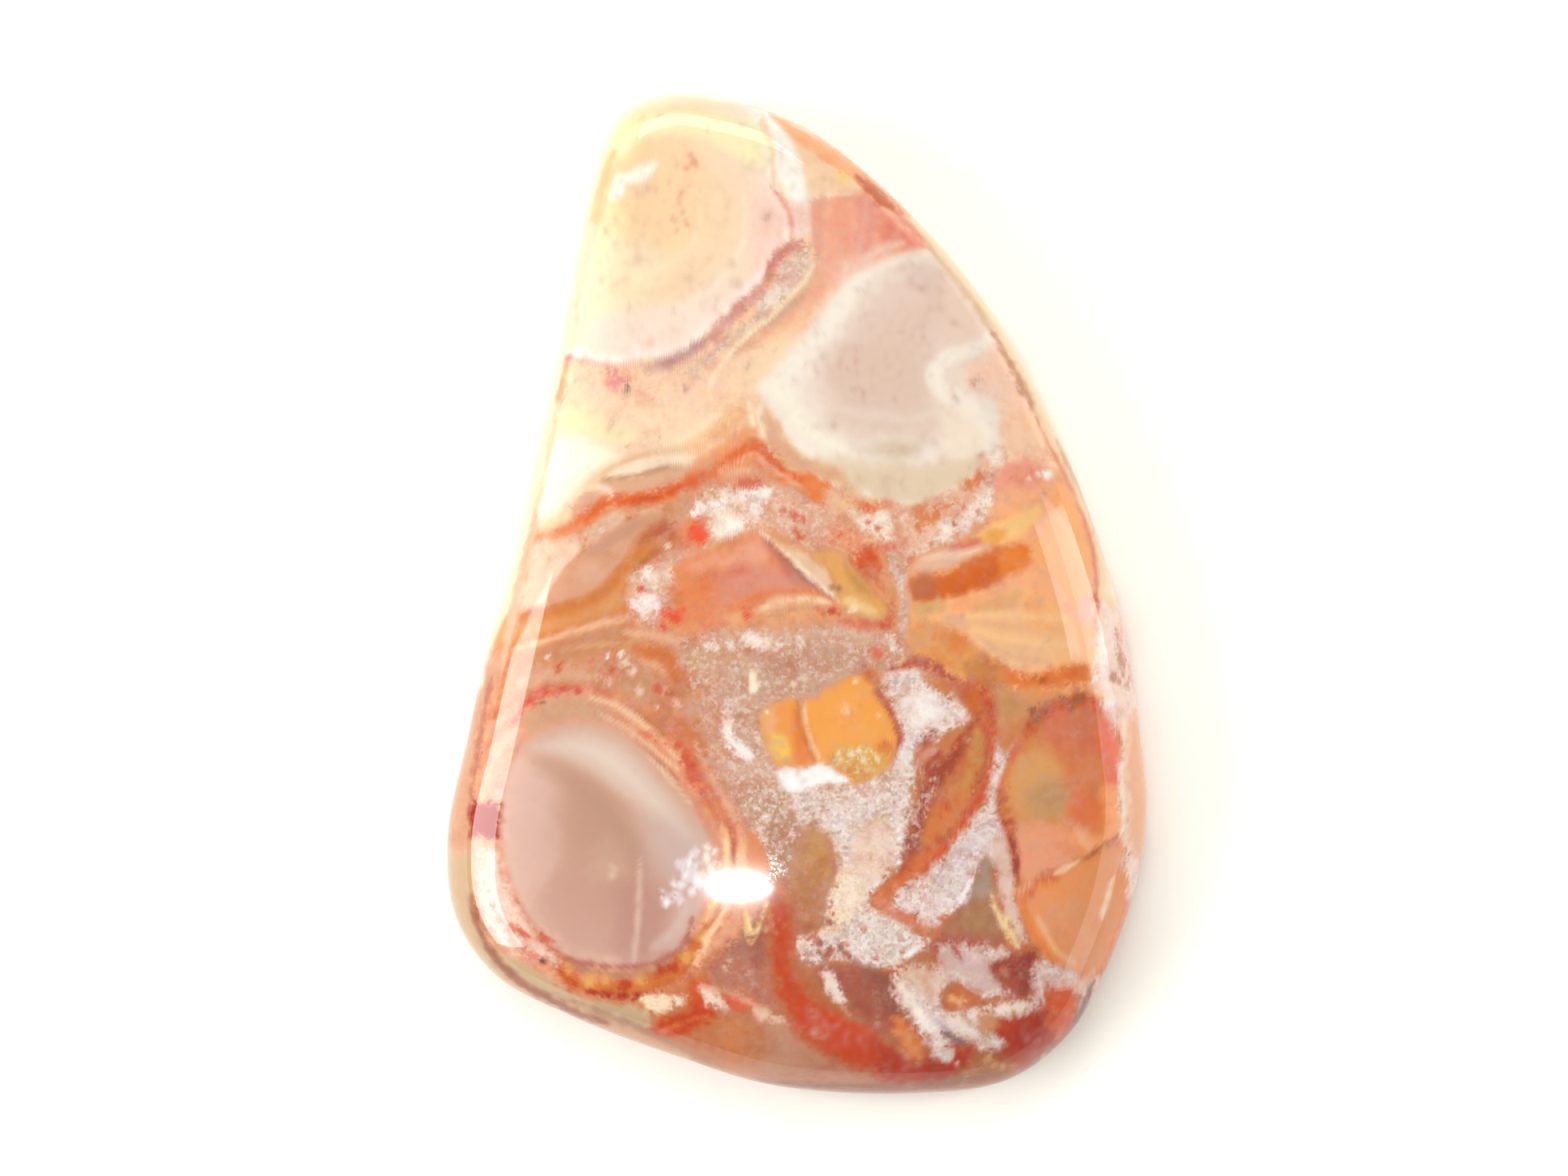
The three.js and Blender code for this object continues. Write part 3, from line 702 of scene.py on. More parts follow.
# Grey-mauve granular quartz of the middle
drawFrom(910, 800)
patch("quartzField",
      [(-64, -4), (-10, 0), (56, 0), (150, 0), (215, 6), (220, 30), (198, 50), (198, 72), (212, 100),
       (232, 140), (232, 200), (212, 290), (150, 335), (120, 355), (90, 360), (50, 330), (30, 260),
       (-5, 200), (-26, 140), (-38, 80), (-60, 30)], [(0, "#D29878"), (0.8, "#D2A286")], soft=0.4, rag=0.35,
      grain=0.76)
patch("quartzFieldRose",
      [(-34, 50), (-5, 50), (20, 160), (50, 250), (48, 310), (20, 290), (-5, 220), (-26, 130)], "#D69C82",
      soft=0.6, rag=0.3, grain=0.72, strength=0.8)
patch("quartzFieldGrey",
      [(-4, 30), (56, 8), (130, 8), (174, 30), (130, 52), (90, 68), (40, 76), (20, 160), (0, 140),
       (-10, 80)], "#D0A892", soft=0.6, rag=0.3, grain=0.76, strength=0.8)
patch("quartzFieldDark",
      [(10, 175), (58, 170), (80, 210), (100, 240), (104, 290), (80, 306), (50, 290), (25, 240)], "#C4997F",
      soft=0.5, rag=0.35, grain=0.85, strength=0.85)
patch("quartzFieldPink", [(2, 150), (40, 150), (66, 168), (50, 184), (15, 180)], "#DEB4A2", soft=0.4,
      rag=0.3, grain=0.8, strength=0.8)
flecks("fieldWhiteSpecks",
       [(34, 210, 5), (42, 200, 5), (48, 222, 6), (56, 208, 5), (62, 230, 5), (38, 236, 5), (70, 216, 5),
        (54, 190, 6), (30, 192, 5), (46, 250, 4), (66, 262, 5), (80, 244, 5), (58, 278, 4)], "#F6E6DC",
       rag=0.14, grain=0.9)
patch("underCarnelian",
      [(130, 180), (160, 180), (202, 162), (220, 140), (232, 130), (232, 170), (210, 185), (170, 200),
       (130, 200)], "#E2C8BE", soft=0.25, rag=0.3, grain=0.95)
patch("whiteQuartzBlock",
      [(77, 192), (96, 184), (122, 184), (148, 189), (176, 182), (202, 168), (232, 156), (232, 200),
       (224, 240), (212, 280), (194, 302), (178, 320), (186, 340), (224, 360), (250, 374), (230, 394),
       (205, 412), (173, 412), (146, 402), (120, 404), (96, 408), (86, 388), (88, 368), (108, 360),
       (119, 340), (124, 316), (134, 290), (134, 262), (122, 248), (98, 230), (78, 210)],
      [(0, "#E2BEAC"), (0.3, "#E8D2C8"), (1.0, "#E6D2CA")], soft=0.16, rag=0.28, grain=1.0)
patch("blockPink", [(166, 230), (194, 228), (206, 260), (198, 292), (174, 310), (154, 290), (152, 256)],
      "#F2D4C4", soft=0.3, rag=0.3, grain=0.7)
patch("blockCream",
      [(124, 312), (142, 282), (164, 292), (172, 316), (164, 336), (146, 350), (126, 362), (96, 380),
       (92, 368), (118, 346)], [(0, "#F0CEB0"), (0.3, "#FBE6CE")], rag=0.28, grain=0.8)
patch("blockGrey", [(170, 350), (210, 358), (240, 372), (220, 394), (190, 404), (160, 390), (158, 364)],
      "#E6D6D0", soft=0.25, rag=0.3, grain=0.95)
flecks("blockCracks",
       [(114, 378, 10), (130, 388, 12), (140, 384, 9), (124, 394, 9), (128, 352, 6), (148, 392, 9),
        (112, 390, 7)], "#A8604C")
patch("quartzBlockRight",
      [(197, 42), (231, 36), (252, 54), (276, 70), (304, 97), (282, 110), (255, 126), (231, 140), (214, 130),
       (208, 106), (200, 72)], [(0, "#E6C2B2"), (0.4, "#EEDCD6")], soft=0.14, rag=0.22, grain=0.95)
patch("blockRightWhite", [(216, 76), (236, 66), (258, 72), (270, 90), (250, 106), (226, 104)], "#FBF2EE",
      soft=0.25, rag=0.3, grain=0.7)
patch("blockRightSliver", [(212, 128), (222, 124), (230, 144), (224, 158), (210, 162), (206, 150)],
      "#F0E2E0", soft=0.12, grain=0.8)
flecks("quartzWhitePatches",
       [(-26, 6, 12), (-14, 12, 12), (-2, 4, 10), (34, 2, 20), (46, 1, 16), (26, 0, 14), (202, -2, 12),
        (206, 10, 10), (90, 2, 7), (62, 6, 8)], "#F8E6DA", soft=0.14, rag=0.22, grain=0.8)
patch("creamFleck", [(26, 42), (34, 42), (38, 56), (34, 66), (27, 66)], "#FDEFD6", soft=0.11, rag=0.12,
      grain=0.2)
flecks("creamStar", [(82, 55, 7), (-26, 52, 4), (38, 124, 4)], "#FBE8CE", rag=0.1)
patch("quartzHook",
      [(-8, 96), (2, 89), (8, 100), (8, 120), (22, 134), (32, 146), (24, 150), (8, 140), (-6, 126)],
      [(0, "#F0D6CC"), (0.14, "#FFF8F4")], soft=0.12, rag=0.16, grain=0.6)
seam("quartzHookArc", [(-6, 92), (4, 80), (10, 74)], 0.4, "#EDD2C6", soft=0.16, rag=0.2, grain=0.8)
flecks("quartzRedSpot", [(184, 14, 14), (190, 18, 10)], "#E06A54", soft=0.14, grain=0.6)

# The orange carnelian fragment and its left lobe
drawFrom(1000, 880)
patch("carnelianLeft",
      [(-50, 12), (-32, -1), (-16, -7), (-3, -4), (0, 9), (4, 28), (10, 50), (17, 73), (-6, 82), (-22, 81),
       (-35, 66), (-45, 44), (-50, 25)], [(0, "#F0A868"), (0.25, "#F2A056")], soft=0.12, rag=0.12, grain=0.2)
patch("carnelianPale", [(-50, 14), (-34, 4), (-28, 18), (-38, 36), (-48, 26)], "#F4B47C", rag=0.12)
patch("carnelianGold", [(-38, 42), (-26, 38), (-15, 50), (-16, 68), (-28, 66)], "#FAC858", rag=0.14)
patch("carnelianSide", [(-10, 4), (0, 16), (6, 46), (12, 70), (-2, 76), (-8, 50)], "#EC8A46", rag=0.1)
patch("carnelianRight",
      [(4, -5), (19, -7), (32, -20), (45, -28), (64, -36), (80, -36), (92, -28), (102, -8), (112, 9),
       (122, 34), (122, 54), (112, 76), (93, 90), (77, 97), (61, 100), (51, 89), (34, 76), (20, 75),
       (12, 57), (4, 28)], [(0, "#F0A05C"), (0.3, "#F6A856"), (1.5, "#F8AA58")], soft=0.12, rag=0.12,
      grain=0.2)
patch("carnelianLightUpper", [(36, 10), (60, -10), (80, 4), (72, 30), (44, 36)], "#FBB062", soft=0.35)
patch("carnelianSparkle",
      [(34, 68), (46, 54), (68, 50), (94, 54), (116, 56), (108, 76), (90, 90), (66, 96), (50, 86)],
      [(0, "#E8AC5C"), (0.4, "#E2AC5C")], soft=0.25, grain=0.7)
# Painted glints: pale specks of light over the yellow-olive part
flecks("carnelianPaintedGlints",
       [(74, 57, 5), (64, 62, 4), (86, 60, 4), (52, 70, 5), (60, 76, 4), (78, 70, 4), (70, 82, 4),
        (96, 68, 4), (48, 62, 4)], "#FDF0C8", rag=0.12)
flecks("carnelianWhiteSpots", [(56, 7, 7), (69, -27, 4), (98, 14, 4), (110, 45, 5)], "#FDE8BC", rag=0.12)
flecks("carnelianSpot", [(108, 52, 16), (100, 54, 12)], "#E07E40", soft=0.15, rag=0.15)
patch("carnelianCap", [(78, -42), (92, -44), (100, -32), (96, -22), (82, -30)], "#D88450", soft=0.14,
      rag=0.15, grain=0.5)
seam("carnelianSplit", [(-4, -4), (-2, 14), (3, 34), (10, 54), (18, 72)], 0.3, "#D87E48")
seam("carnelianCrease", [(6, -4), (7, 18), (12, 40), (20, 60), (30, 76)], 0.3,
     [(0, "#F2AC74"), (0.12, "#FBCC9C")])
seam("carnelianOutline", [(94, -18), (106, 0), (118, 20), (124, 42), (120, 62)], 0.34, "#C05848", rag=0.14)
# Painted reflection: a pure white patch of glare under the carnelian
patch("paintedGlareUnderCarnelian",
      [(-26, 82), (6, 81), (22, 75), (34, 79), (58, 90), (60, 100), (34, 100), (14, 104), (-4, 110),
       (-18, 106), (-26, 94)], [(0, "#FDF4EC"), (0.12, "#FFFFFF")], soft=0.14, rag=0.1, grain=0.1)

# The leaf-shaped fragment and the red seam round it
drawFrom(1150, 920)
patch("leafFragment",
      [(55, -2), (72, -20), (86, 5), (86, 40), (78, 70), (65, 92), (50, 115), (34, 136), (18, 156), (0, 172),
       (-30, 189), (-56, 204), (-58, 196), (-38, 178), (-25, 160), (-18, 140), (-12, 110), (-7, 80),
       (-2, 56), (10, 36), (35, 18)], [(0, "#B25642"), (0.3, "#C46A46"), (0.8, "#CC7A4E")], soft=0.14,
      rag=0.25, grain=0.5)
patch("leafDark", [(0, 65), (12, 38), (36, 20), (54, 2), (57, 22), (44, 42), (26, 64), (10, 88), (-4, 110)],
      [(0, "#B05440"), (0.3, "#A44A32")], soft=0.25, rag=0.3, grain=0.5)
patch("leafOlive",
      [(72, -16), (81, 4), (80, 30), (72, 56), (56, 76), (40, 90), (34, 80), (50, 56), (58, 28), (62, 0)],
      "#D09256", soft=0.25, grain=0.35)
patch("leafAmber", [(26, 80), (48, 65), (64, 70), (54, 96), (32, 120), (10, 136), (0, 124), (10, 100)],
      "#D8824E", soft=0.25, grain=0.35)
patch("leafGranular", [(-20, 146), (-10, 100), (-2, 64), (14, 64), (12, 90), (4, 120), (-4, 146)], "#A4564A",
      soft=0.25, rag=0.3, grain=0.85, strength=0.85)
flecks("leafRedSpots", [(32, 88, 10), (26, 100, 8), (12, 142, 8), (46, 80, 5)], "#CC5634", soft=0.16)
# Painted glints: cream-white specks of light on the dark granular edge
flecks("leafPaintedGlints",
       [(63, 12, 5), (59, 6, 4), (22, 4, 3), (2, 46, 4), (10, 56, 3.5), (4, 64, 3.5), (20, 52, 3),
        (-4, 72, 3.5), (10, 78, 3), (0, 88, 3.5), (16, 70, 3), (-6, 102, 3), (6, 96, 3)], "#F6DAC8",
       rag=0.12, grain=0.6)
patch("leafFoot",
      [(38, 130), (26, 152), (0, 174), (-32, 192), (-58, 206), (-54, 194), (-28, 174), (-4, 152), (18, 136)],
      [(0, "#D4683E"), (0.3, "#DE7846")], grain=0.35)
patch("loopRoot", [(48, -70), (68, -68), (86, -58), (82, -32), (72, -20), (60, -36)],
      [(0, "#C8602C"), (0.3, "#D27238")], rag=0.25, grain=0.5)
seam("redLoop", [(-38, -82), (-10, -92), (12, -91), (32, -78), (50, -66), (64, -58)], 0.4,
     [(0, "#D07058"), (0.16, "#BC4E3E")], soft=0.14, rag=0.24, grain=0.6)
seam("redLoopFoot", [(76, -58), (87, -42), (91, -16), (93, 4)], 0.56, [(0, "#D06440"), (0.2, "#C84C30")],
     soft=0.16, rag=0.22, grain=0.5)
seam("leafRedEdge", [(78, -16), (89, 10), (88, 46), (79, 70), (64, 94), (47, 118), (30, 140), (8, 163)],
     0.44, [(0, "#DC6A44"), (0.18, "#D05232")], soft=0.14, rag=0.16)
seam("leafTopEdge", [(72, -22), (56, -4), (38, 12), (18, 27), (4, 40)], 0.22, "#B04632", rag=0.18)
flecks("leafRootSpot", [(8, 6, 10), (13, -1, 7), (0, 14, 7)], "#A8483C", soft=0.12)
seam("leafRootLine", [(0, 14), (-6, 23), (2, 26), (18, 18)], 0.2, "#DC8C74", rag=0.14)
seam("redTongue", [(-58, 202), (-40, 212), (-14, 227), (10, 243)], 0.44, [(0, "#E8A088"), (0.16, "#DC7C60")],
     soft=0.14, rag=0.2)

# The lilac quartz channel between the fragments
drawFrom(1180, 1020)
patch("channelQuartz",
      [(66, -96), (88, -98), (92, -86), (78, -58), (68, -30), (70, 0), (82, 26), (90, 66), (82, 92),
       (68, 84), (60, 64), (48, 54), (34, 76), (24, 104), (4, 126), (-12, 140), (-40, 124), (-68, 110),
       (-58, 92), (-26, 74), (-4, 56), (20, 24), (46, -12), (60, -48)], [(0, "#E4C2BA"), (0.3, "#EAD4D0")],
      soft=0.14, rag=0.25, grain=0.9)
patch("channelLilac", [(16, 40), (46, 4), (64, 10), (56, 42), (30, 74), (4, 92), (-10, 80)], "#DCCACA",
      soft=0.3, rag=0.3, grain=0.85, strength=0.7)
patch("lilacWedge",
      [(58, 30), (78, 30), (88, 66), (86, 90), (94, 126), (104, 156), (94, 158), (80, 126), (68, 90)],
      [(0, "#E0C0B4"), (0.25, "#E6C8BC")], soft=0.16, rag=0.14, grain=0.5)

# The brown triangles and their cream edge
drawFrom(1170, 1090)
patch("brownTriangle",
      [(63, -22), (48, 4), (36, 34), (18, 56), (3, 74), (24, 87), (60, 94), (86, 90), (80, 66), (73, 38),
       (70, 4)], [(0, "#A87660"), (0.3, "#B07C5C"), (0.8, "#B0805C")], soft=0.14, rag=0.12, grain=0.35)
patch("triangleGrey", [(63, -20), (52, 2), (44, 26), (70, 28), (70, 4)], "#AC9482", soft=0.35, rag=0.12)
patch("triangleFoot", [(6, 72), (36, 74), (80, 76), (86, 90), (60, 94), (24, 87)], "#AE6C54", soft=0.25,
      rag=0.12)
seam("triangleFootLine", [(2, 74), (22, 87), (56, 94), (84, 91)], 0.2, "#A4503E", rag=0.2)
seam("creamEdge", [(68, 26), (75, 48), (84, 64), (95, 78), (104, 98)], 0.42,
     [(0, "#E0B890"), (0.14, "#F6DCA8")], rag=0.12)
flecks("creamEdgeSpots", [(92, 80, 8), (102, 94, 8), (86, 60, 6)], "#F8DEA6", soft=0.12, rag=0.14)
patch("brownTriangleLow", [(-42, 114), (-20, 101), (-2, 86), (1, 122), (-20, 121)],
      [(0, "#B07C64"), (0.3, "#AC7654")], soft=0.14, rag=0.14)

# The right fragment, amber below an orange-red crown
drawFrom(1310, 870)
patch("beigeOlive", [(-66, 2), (-44, -4), (-26, 10), (-38, 32), (-60, 32)], "#C88E5C", soft=0.4,
      strength=0.7)
patch("beigeOrange", [(-30, -12), (6, -10), (22, 0), (-6, 10), (-24, 8)], "#E8985E", soft=0.3, strength=0.8)
patch("beigeSalmon", [(-60, 34), (-24, 28), (-34, 52), (-52, 72), (-64, 54)], "#D48858", soft=0.3)
patch("rightFragment",
      [(-63, 128), (-52, 90), (-34, 50), (-20, 26), (4, 10), (34, -2), (66, 4), (86, 32), (91, 70),
       (90, 115), (94, 182), (98, 248), (90, 298), (64, 348), (38, 354), (8, 338), (-16, 310), (-32, 274),
       (-38, 240), (-44, 206), (-54, 172)], [(0, "#DA7248"), (0.35, "#DE9058"), (1.2, "#DC9660")], soft=0.14,
      rag=0.16, grain=0.35)
patch("fragmentCrown",
      [(-32, 50), (-20, 24), (2, 10), (30, -3), (64, 2), (82, 22), (88, 44), (74, 38), (50, 20), (26, 19),
       (2, 29), (-16, 48)], [(0, "#C86034"), (0.3, "#CC6436")], soft=0.25, rag=0.25, grain=0.6)
patch("fragmentRose", [(-4, 30), (30, 18), (62, 22), (74, 50), (60, 80), (20, 80), (-6, 60)], "#D87458",
      soft=0.5, rag=0.25, strength=0.85)
patch("fragmentAmber", [(-48, 92), (-26, 66), (4, 70), (16, 105), (-4, 136), (-42, 134)], "#DEA068",
      soft=0.5)
patch("fragmentMiddle", [(18, 70), (56, 66), (70, 100), (62, 134), (28, 130)], "#E08258", soft=0.5, rag=0.25,
      strength=0.8)
patch("fragmentOlive", [(-26, 122), (0, 106), (26, 118), (24, 146), (-4, 158), (-24, 144)], "#BE9A72",
      soft=0.7, rag=0.25, strength=0.75)
patch("fragmentRedSide", [(64, 22), (86, 34), (90, 70), (86, 118), (70, 106), (64, 70)],
      [(0, "#F47442"), (0.3, "#F46028")], soft=0.25, rag=0.25)
patch("fragmentSidePeach", [(66, 114), (88, 118), (93, 172), (74, 176), (62, 150)], "#FFA666", soft=0.25,
      rag=0.15)
patch("fragmentBlotch", [(26, 134), (50, 122), (72, 138), (70, 168), (42, 176), (24, 160)], "#EC7C4E",
      soft=0.4, rag=0.25, strength=0.9)
patch("fragmentPeach", [(-42, 168), (-10, 156), (30, 164), (52, 178), (40, 200), (6, 218), (-36, 226)],
      "#ECA07C", soft=0.3)
patch("fragmentPeachRight", [(28, 166), (60, 174), (84, 164), (88, 174), (56, 194), (36, 200)], "#FCA46C",
      soft=0.25, rag=0.15)
seam("fragmentPaleLine", [(34, 160), (42, 182), (56, 192)], 0.3, "#F8BE96", soft=0.16, rag=0.1, strength=0.7)
patch("fragmentLower",
      [(-34, 248), (10, 226), (42, 208), (94, 186), (96, 260), (82, 310), (62, 344), (34, 346), (-2, 318)],
      [(0, "#EE945A"), (0.6, "#EC9A64")], rag=0.12, grain=0.2)
patch("fragmentGlow", [(6, 270), (36, 254), (62, 280), (56, 320), (28, 326), (6, 304)], "#EA9E70", soft=0.6,
      strength=0.8)
seam("fragmentLightArc", [(-14, 276), (-2, 300), (12, 320), (32, 333)], 0.26, "#F8C496", soft=0.16, rag=0.08,
     strength=0.8)
seam("fragmentTopEdge", [(-32, 50), (-44, 74), (-54, 98), (-61, 122)], 0.36,
     [(0, "#E49468"), (0.16, "#DC7248")], soft=0.14, rag=0.16)
seam("fragmentLeftEdge", [(-63, 120), (-61, 138), (-54, 160), (-47, 180), (-41, 210), (-39, 230)], 0.42,
     [(0, "#C87054"), (0.16, "#AA4A34")], soft=0.14, rag=0.22, grain=0.5)
flecks("fragmentEdgeSpots", [(-52, 142, 9), (-48, 156, 9), (-46, 170, 7), (-54, 130, 6)], "#B4583E",
       soft=0.16, rag=0.22)
seam("fragmentRightEdge", [(94, 180), (98, 220), (96, 264), (86, 300), (68, 336)], 0.26, "#F09068",
     soft=0.14, rag=0.08)
flecks("crownSpeckles",
       [(-20, 20, 8), (-10, 14, 7), (34, 5, 8), (42, 1, 6), (22, 7, 5), (-14, 30, 6), (-26, 36, 5),
        (52, 8, 4), (28, 14, 4), (-2, 22, 4), (16, 2, 5)], "#9C5234", rag=0.16)
flecks("fragmentCrownRed", [(58, 12, 12), (70, 24, 10), (12, 18, 9), (2, 32, 8)], "#E06440", soft=0.18,
       rag=0.22)
seam("fragmentArc", [(-38, 240), (-32, 262), (-22, 288), (-6, 316), (14, 337), (36, 349), (60, 350)], 0.46,
     [(0, "#F0985E"), (0.16, "#E88446")], soft=0.14, rag=0.12)
seam("crackPink", [(-46, 246), (-30, 240), (-14, 232)], 0.24, "#F0A88A", rag=0.08)
flecks("crackBlob", [(-6, 230, 11), (4, 224, 12), (-14, 236, 8), (-24, 244, 7)], "#D65A38", soft=0.16)
seam("crackCream", [(8, 222), (26, 212), (42, 204)], 0.24, "#FAC8A0")
seam("crackDark", [(40, 206), (56, 196), (70, 184), (86, 174)], 0.2, "#C4603E", rag=0.14)
flecks("crackDarkSpots", [(72, 184, 6), (60, 192, 5)], "#A8502F", soft=0.12, rag=0.14)
seam("fragmentStreak", [(80, 226), (74, 250), (66, 276)], 0.22, "#FFDCBC")

# Pink and cream seams along the right rim
drawFrom(1400, 850)
patch("rimQuartz",
      [(-32, -150), (-14, -134), (-2, -94), (10, -50), (22, 10), (34, 70), (36, 110), (28, 150), (26, 210),
       (26, 262), (8, 270), (4, 200), (-1, 135), (1, 75), (-20, 34), (-34, 2), (-31, -58)],
      [(0, "#F8CCB8"), (0.25, "#FFE2D6")], soft=0.16, grain=0.6)
# Pale band along the right rim: the stone's white quartz with a painted reflection of the low right softbox
# over it
patch("rimWhite", [(-6, 34), (6, 50), (10, 90), (7, 140), (10, 202), (2, 196), (-2, 135), (1, 76)],
      "#FFE8D6", soft=0.14, rag=0.14)
flecks("rimWhiteSpots", [(-26, -4, 12), (-18, 6, 9), (-24, -12, 9), (-10, 28, 10), (0, 46, 9)], "#FFF6F0",
       soft=0.14, grain=0.5)
patch("rimPeach", [(9, 50), (40, 50), (48, 150), (40, 216), (12, 212), (8, 150)],
      [(0, "#FCC8A8"), (0.3, "#F8B894")], rag=0.12, grain=0.2)
seam("rimBrownStreak", [(-4, -64), (1, -34), (4, -4)], 0.22, "#D49C80", rag=0.2)
flecks("rimBrownSpots", [(-2, 1, 7), (5, 8, 6), (-9, -4, 4)], "#CA9878", soft=0.12, rag=0.16)

# The deep red and brown ground of the foot
drawFrom(960, 1200)
patch("footBrown",
      [(-80, -50), (0, -60), (40, 0), (140, 30), (210, -20), (300, -16), (340, 0), (420, 30), (480, 40),
       (420, 220), (-160, 220), (-160, 90), (-80, 40)], [(0, "#BE7250"), (0.6, "#BE7856")], soft=0.3,
      rag=0.25, grain=0.5)
patch("mauveSalmon",
      [(-84, -50), (-55, -65), (2, -62), (2, -20), (6, 30), (24, 64), (-20, 54), (-60, 38), (-80, 26)],
      [(0, "#BE8068"), (0.4, "#BA735E")], soft=0.35, rag=0.3, grain=0.6)
patch("mauveGrey", [(-64, -48), (-24, -54), (-12, -30), (-32, 0), (-60, -2)], "#AE806C", soft=0.4, rag=0.3,
      grain=0.5, strength=0.7)
patch("mauveDark", [(-28, -24), (-4, -54), (2, -10), (-14, 6)], "#A05C4C", soft=0.35, rag=0.3, grain=0.5,
      strength=0.75)
flecks("mauveSpecks", [(-46, 0, 4), (-38, -4, 3), (-54, 8, 3), (-24, 14, 3)], "#D8A898", rag=0.16)
patch("bottomRose", [(-30, 70), (40, 72), (70, 110), (120, 134), (150, 150), (40, 170), (-60, 150)],
      [(0, "#C08068"), (0.4, "#C48C72")], soft=0.45, rag=0.25, grain=0.35)
patch("bottomOrange", [(-84, 62), (-30, 66), (-4, 90), (-16, 136), (-70, 132), (-110, 100)], "#C47C54",
      soft=0.5, rag=0.3, grain=0.4)
patch("bottomAmber", [(-62, 78), (-36, 74), (-30, 116), (-46, 132), (-60, 110)], "#CE8052", soft=0.35,
      rag=0.3, grain=0.35, strength=0.7)
flecks("bottomRust", [(-88, 100, 12), (-70, 108, 11), (-55, 113, 8), (-98, 88, 10), (-80, 70, 9)], "#B85C40",
       soft=0.22, rag=0.3)
patch("amberSoft",
      [(54, -172), (76, -156), (82, -134), (83, -116), (76, -94), (68, -72), (65, -48), (54, -35), (36, -38),
       (18, -66), (24, -110), (38, -150)], [(0, "#C49072"), (0.4, "#C48C66")], soft=0.45, rag=0.3, grain=0.6)
patch("amberRight", [(54, -156), (74, -153), (80, -130), (76, -96), (60, -90), (52, -120)], "#CC965E",
      soft=0.35, rag=0.3, grain=0.5, strength=0.8)
patch("amberLow", [(24, -88), (54, -94), (66, -70), (58, -38), (38, -36), (20, -60)], "#BA7850", soft=0.35,
      rag=0.3, grain=0.5, strength=0.85)
patch("amberLeft", [(-4, -94), (24, -98), (30, -50), (10, -44), (-4, -68)], "#C47450", soft=0.35, rag=0.3,
      grain=0.5)
seam("amberOutline",
     [(75, -157), (76, -134), (83, -116), (77, -93), (69, -74), (66, -48), (56, -35), (40, -34)], 0.18,
     "#B87C60", rag=0.2, strength=0.6)
patch("mauveBrown",
      [(62, 6), (100, 2), (152, 13), (164, 40), (182, 68), (192, 92), (160, 98), (130, 86), (98, 64),
       (70, 40)], [(0, "#B06A56"), (0.4, "#AA6050")], soft=0.3, rag=0.3, grain=0.45)
patch("mauvePlum", [(120, 10), (156, 14), (164, 46), (178, 72), (160, 74), (134, 44)], "#925A4E", soft=0.3,
      rag=0.25, grain=0.4, strength=0.75)
patch("redCrescent",
      [(0, -70), (-4, -40), (2, 0), (6, 40), (25, 72), (45, 100), (70, 120), (100, 133), (135, 142),
       (180, 150), (212, 152), (200, 136), (180, 126), (152, 107), (126, 87), (96, 66), (71, 49), (47, 26),
       (32, 4), (31, -30), (24, -66)], [(0, "#C45E3A"), (0.25, "#C85024"), (0.8, "#C84C18")], soft=0.22,
      rag=0.3)
patch("crescentBrown", [(34, -4), (44, 14), (58, 30), (80, 48), (102, 66), (88, 70), (64, 54), (44, 34)],
      "#B4683E", soft=0.3, rag=0.25, strength=0.7)
flecks("crescentSpecks",
       [(1, -54, 4), (6, -44, 4), (10, -36, 3.5), (-2, -40, 3.5), (14, -50, 3.5), (6, -28, 3.5),
        (18, -40, 3)], "#E8A08C", rag=0.14)
patch("crescentRed",
      [(66, 70), (90, 67), (112, 84), (132, 100), (144, 120), (110, 124), (82, 110), (68, 90)], "#CC4A00",
      soft=0.35, rag=0.3, grain=0.12)
patch("crescentDeep", [(128, 98), (152, 104), (182, 126), (212, 152), (152, 152), (136, 142)], "#BC4008",
      soft=0.28, rag=0.25, grain=0.15)
seam("footCreamThread", [(84, 44), (94, 58), (104, 70)], 0.16, "#D8A080", rag=0.1, strength=0.7)
patch("footRed",
      [(140, 108), (180, 116), (208, 120), (240, 102), (258, 110), (258, 140), (230, 154), (146, 154)],
      [(0, "#BC4820"), (0.4, "#B84008")], soft=0.25, rag=0.3, grain=0.2)
patch("footRedDark", [(186, 112), (212, 122), (228, 138), (216, 152), (190, 146)], "#AC3A08", soft=0.3,
      rag=0.25, grain=0.2, strength=0.8)
patch("orangeFootBlob", [(150, 76), (166, 68), (182, 86), (194, 108), (188, 124), (168, 108)],
      [(0, "#D47448"), (0.3, "#E0844C")], soft=0.28, rag=0.25)
seam("orangeFootLight", [(156, 84), (168, 98), (180, 114)], 0.3, "#EC9C62", soft=0.2, rag=0.15, strength=0.7)
patch("deepRedFoot",
      [(258, 96), (280, 72), (326, 62), (338, 42), (385, 36), (394, 62), (378, 92), (346, 122), (310, 136),
       (274, 114)], [(0, "#C45024"), (0.4, "#BC4408")], soft=0.25, rag=0.3, grain=0.2)
patch("deepRedHeart", [(310, 76), (340, 62), (362, 78), (350, 104), (320, 116), (302, 100)], "#B43C00",
      soft=0.35, rag=0.3, grain=0.1)
patch("footRimPlum",
      [(402, 62), (392, 90), (362, 126), (330, 146), (298, 154), (304, 142), (340, 122), (370, 92),
       (386, 68)], "#9A5A4C", rag=0.15)
patch("oliveRimFoot", [(246, 130), (262, 112), (286, 114), (306, 134), (302, 172), (216, 180), (220, 148)],
      [(0, "#B06640"), (0.3, "#B86C3E")], soft=0.25, grain=0.4)
flecks("oliveRimGold", [(284, 125, 9), (292, 131, 7), (276, 122, 5), (306, 132, 5)], "#DAA272", soft=0.14,
       rag=0.18)
patch("redTriangle", [(210, -32), (302, -16), (340, -4), (326, 36), (302, 50), (270, 25), (220, 15)],
      [(0, "#B46856"), (0.4, "#AC5644")], rag=0.25, grain=0.5)
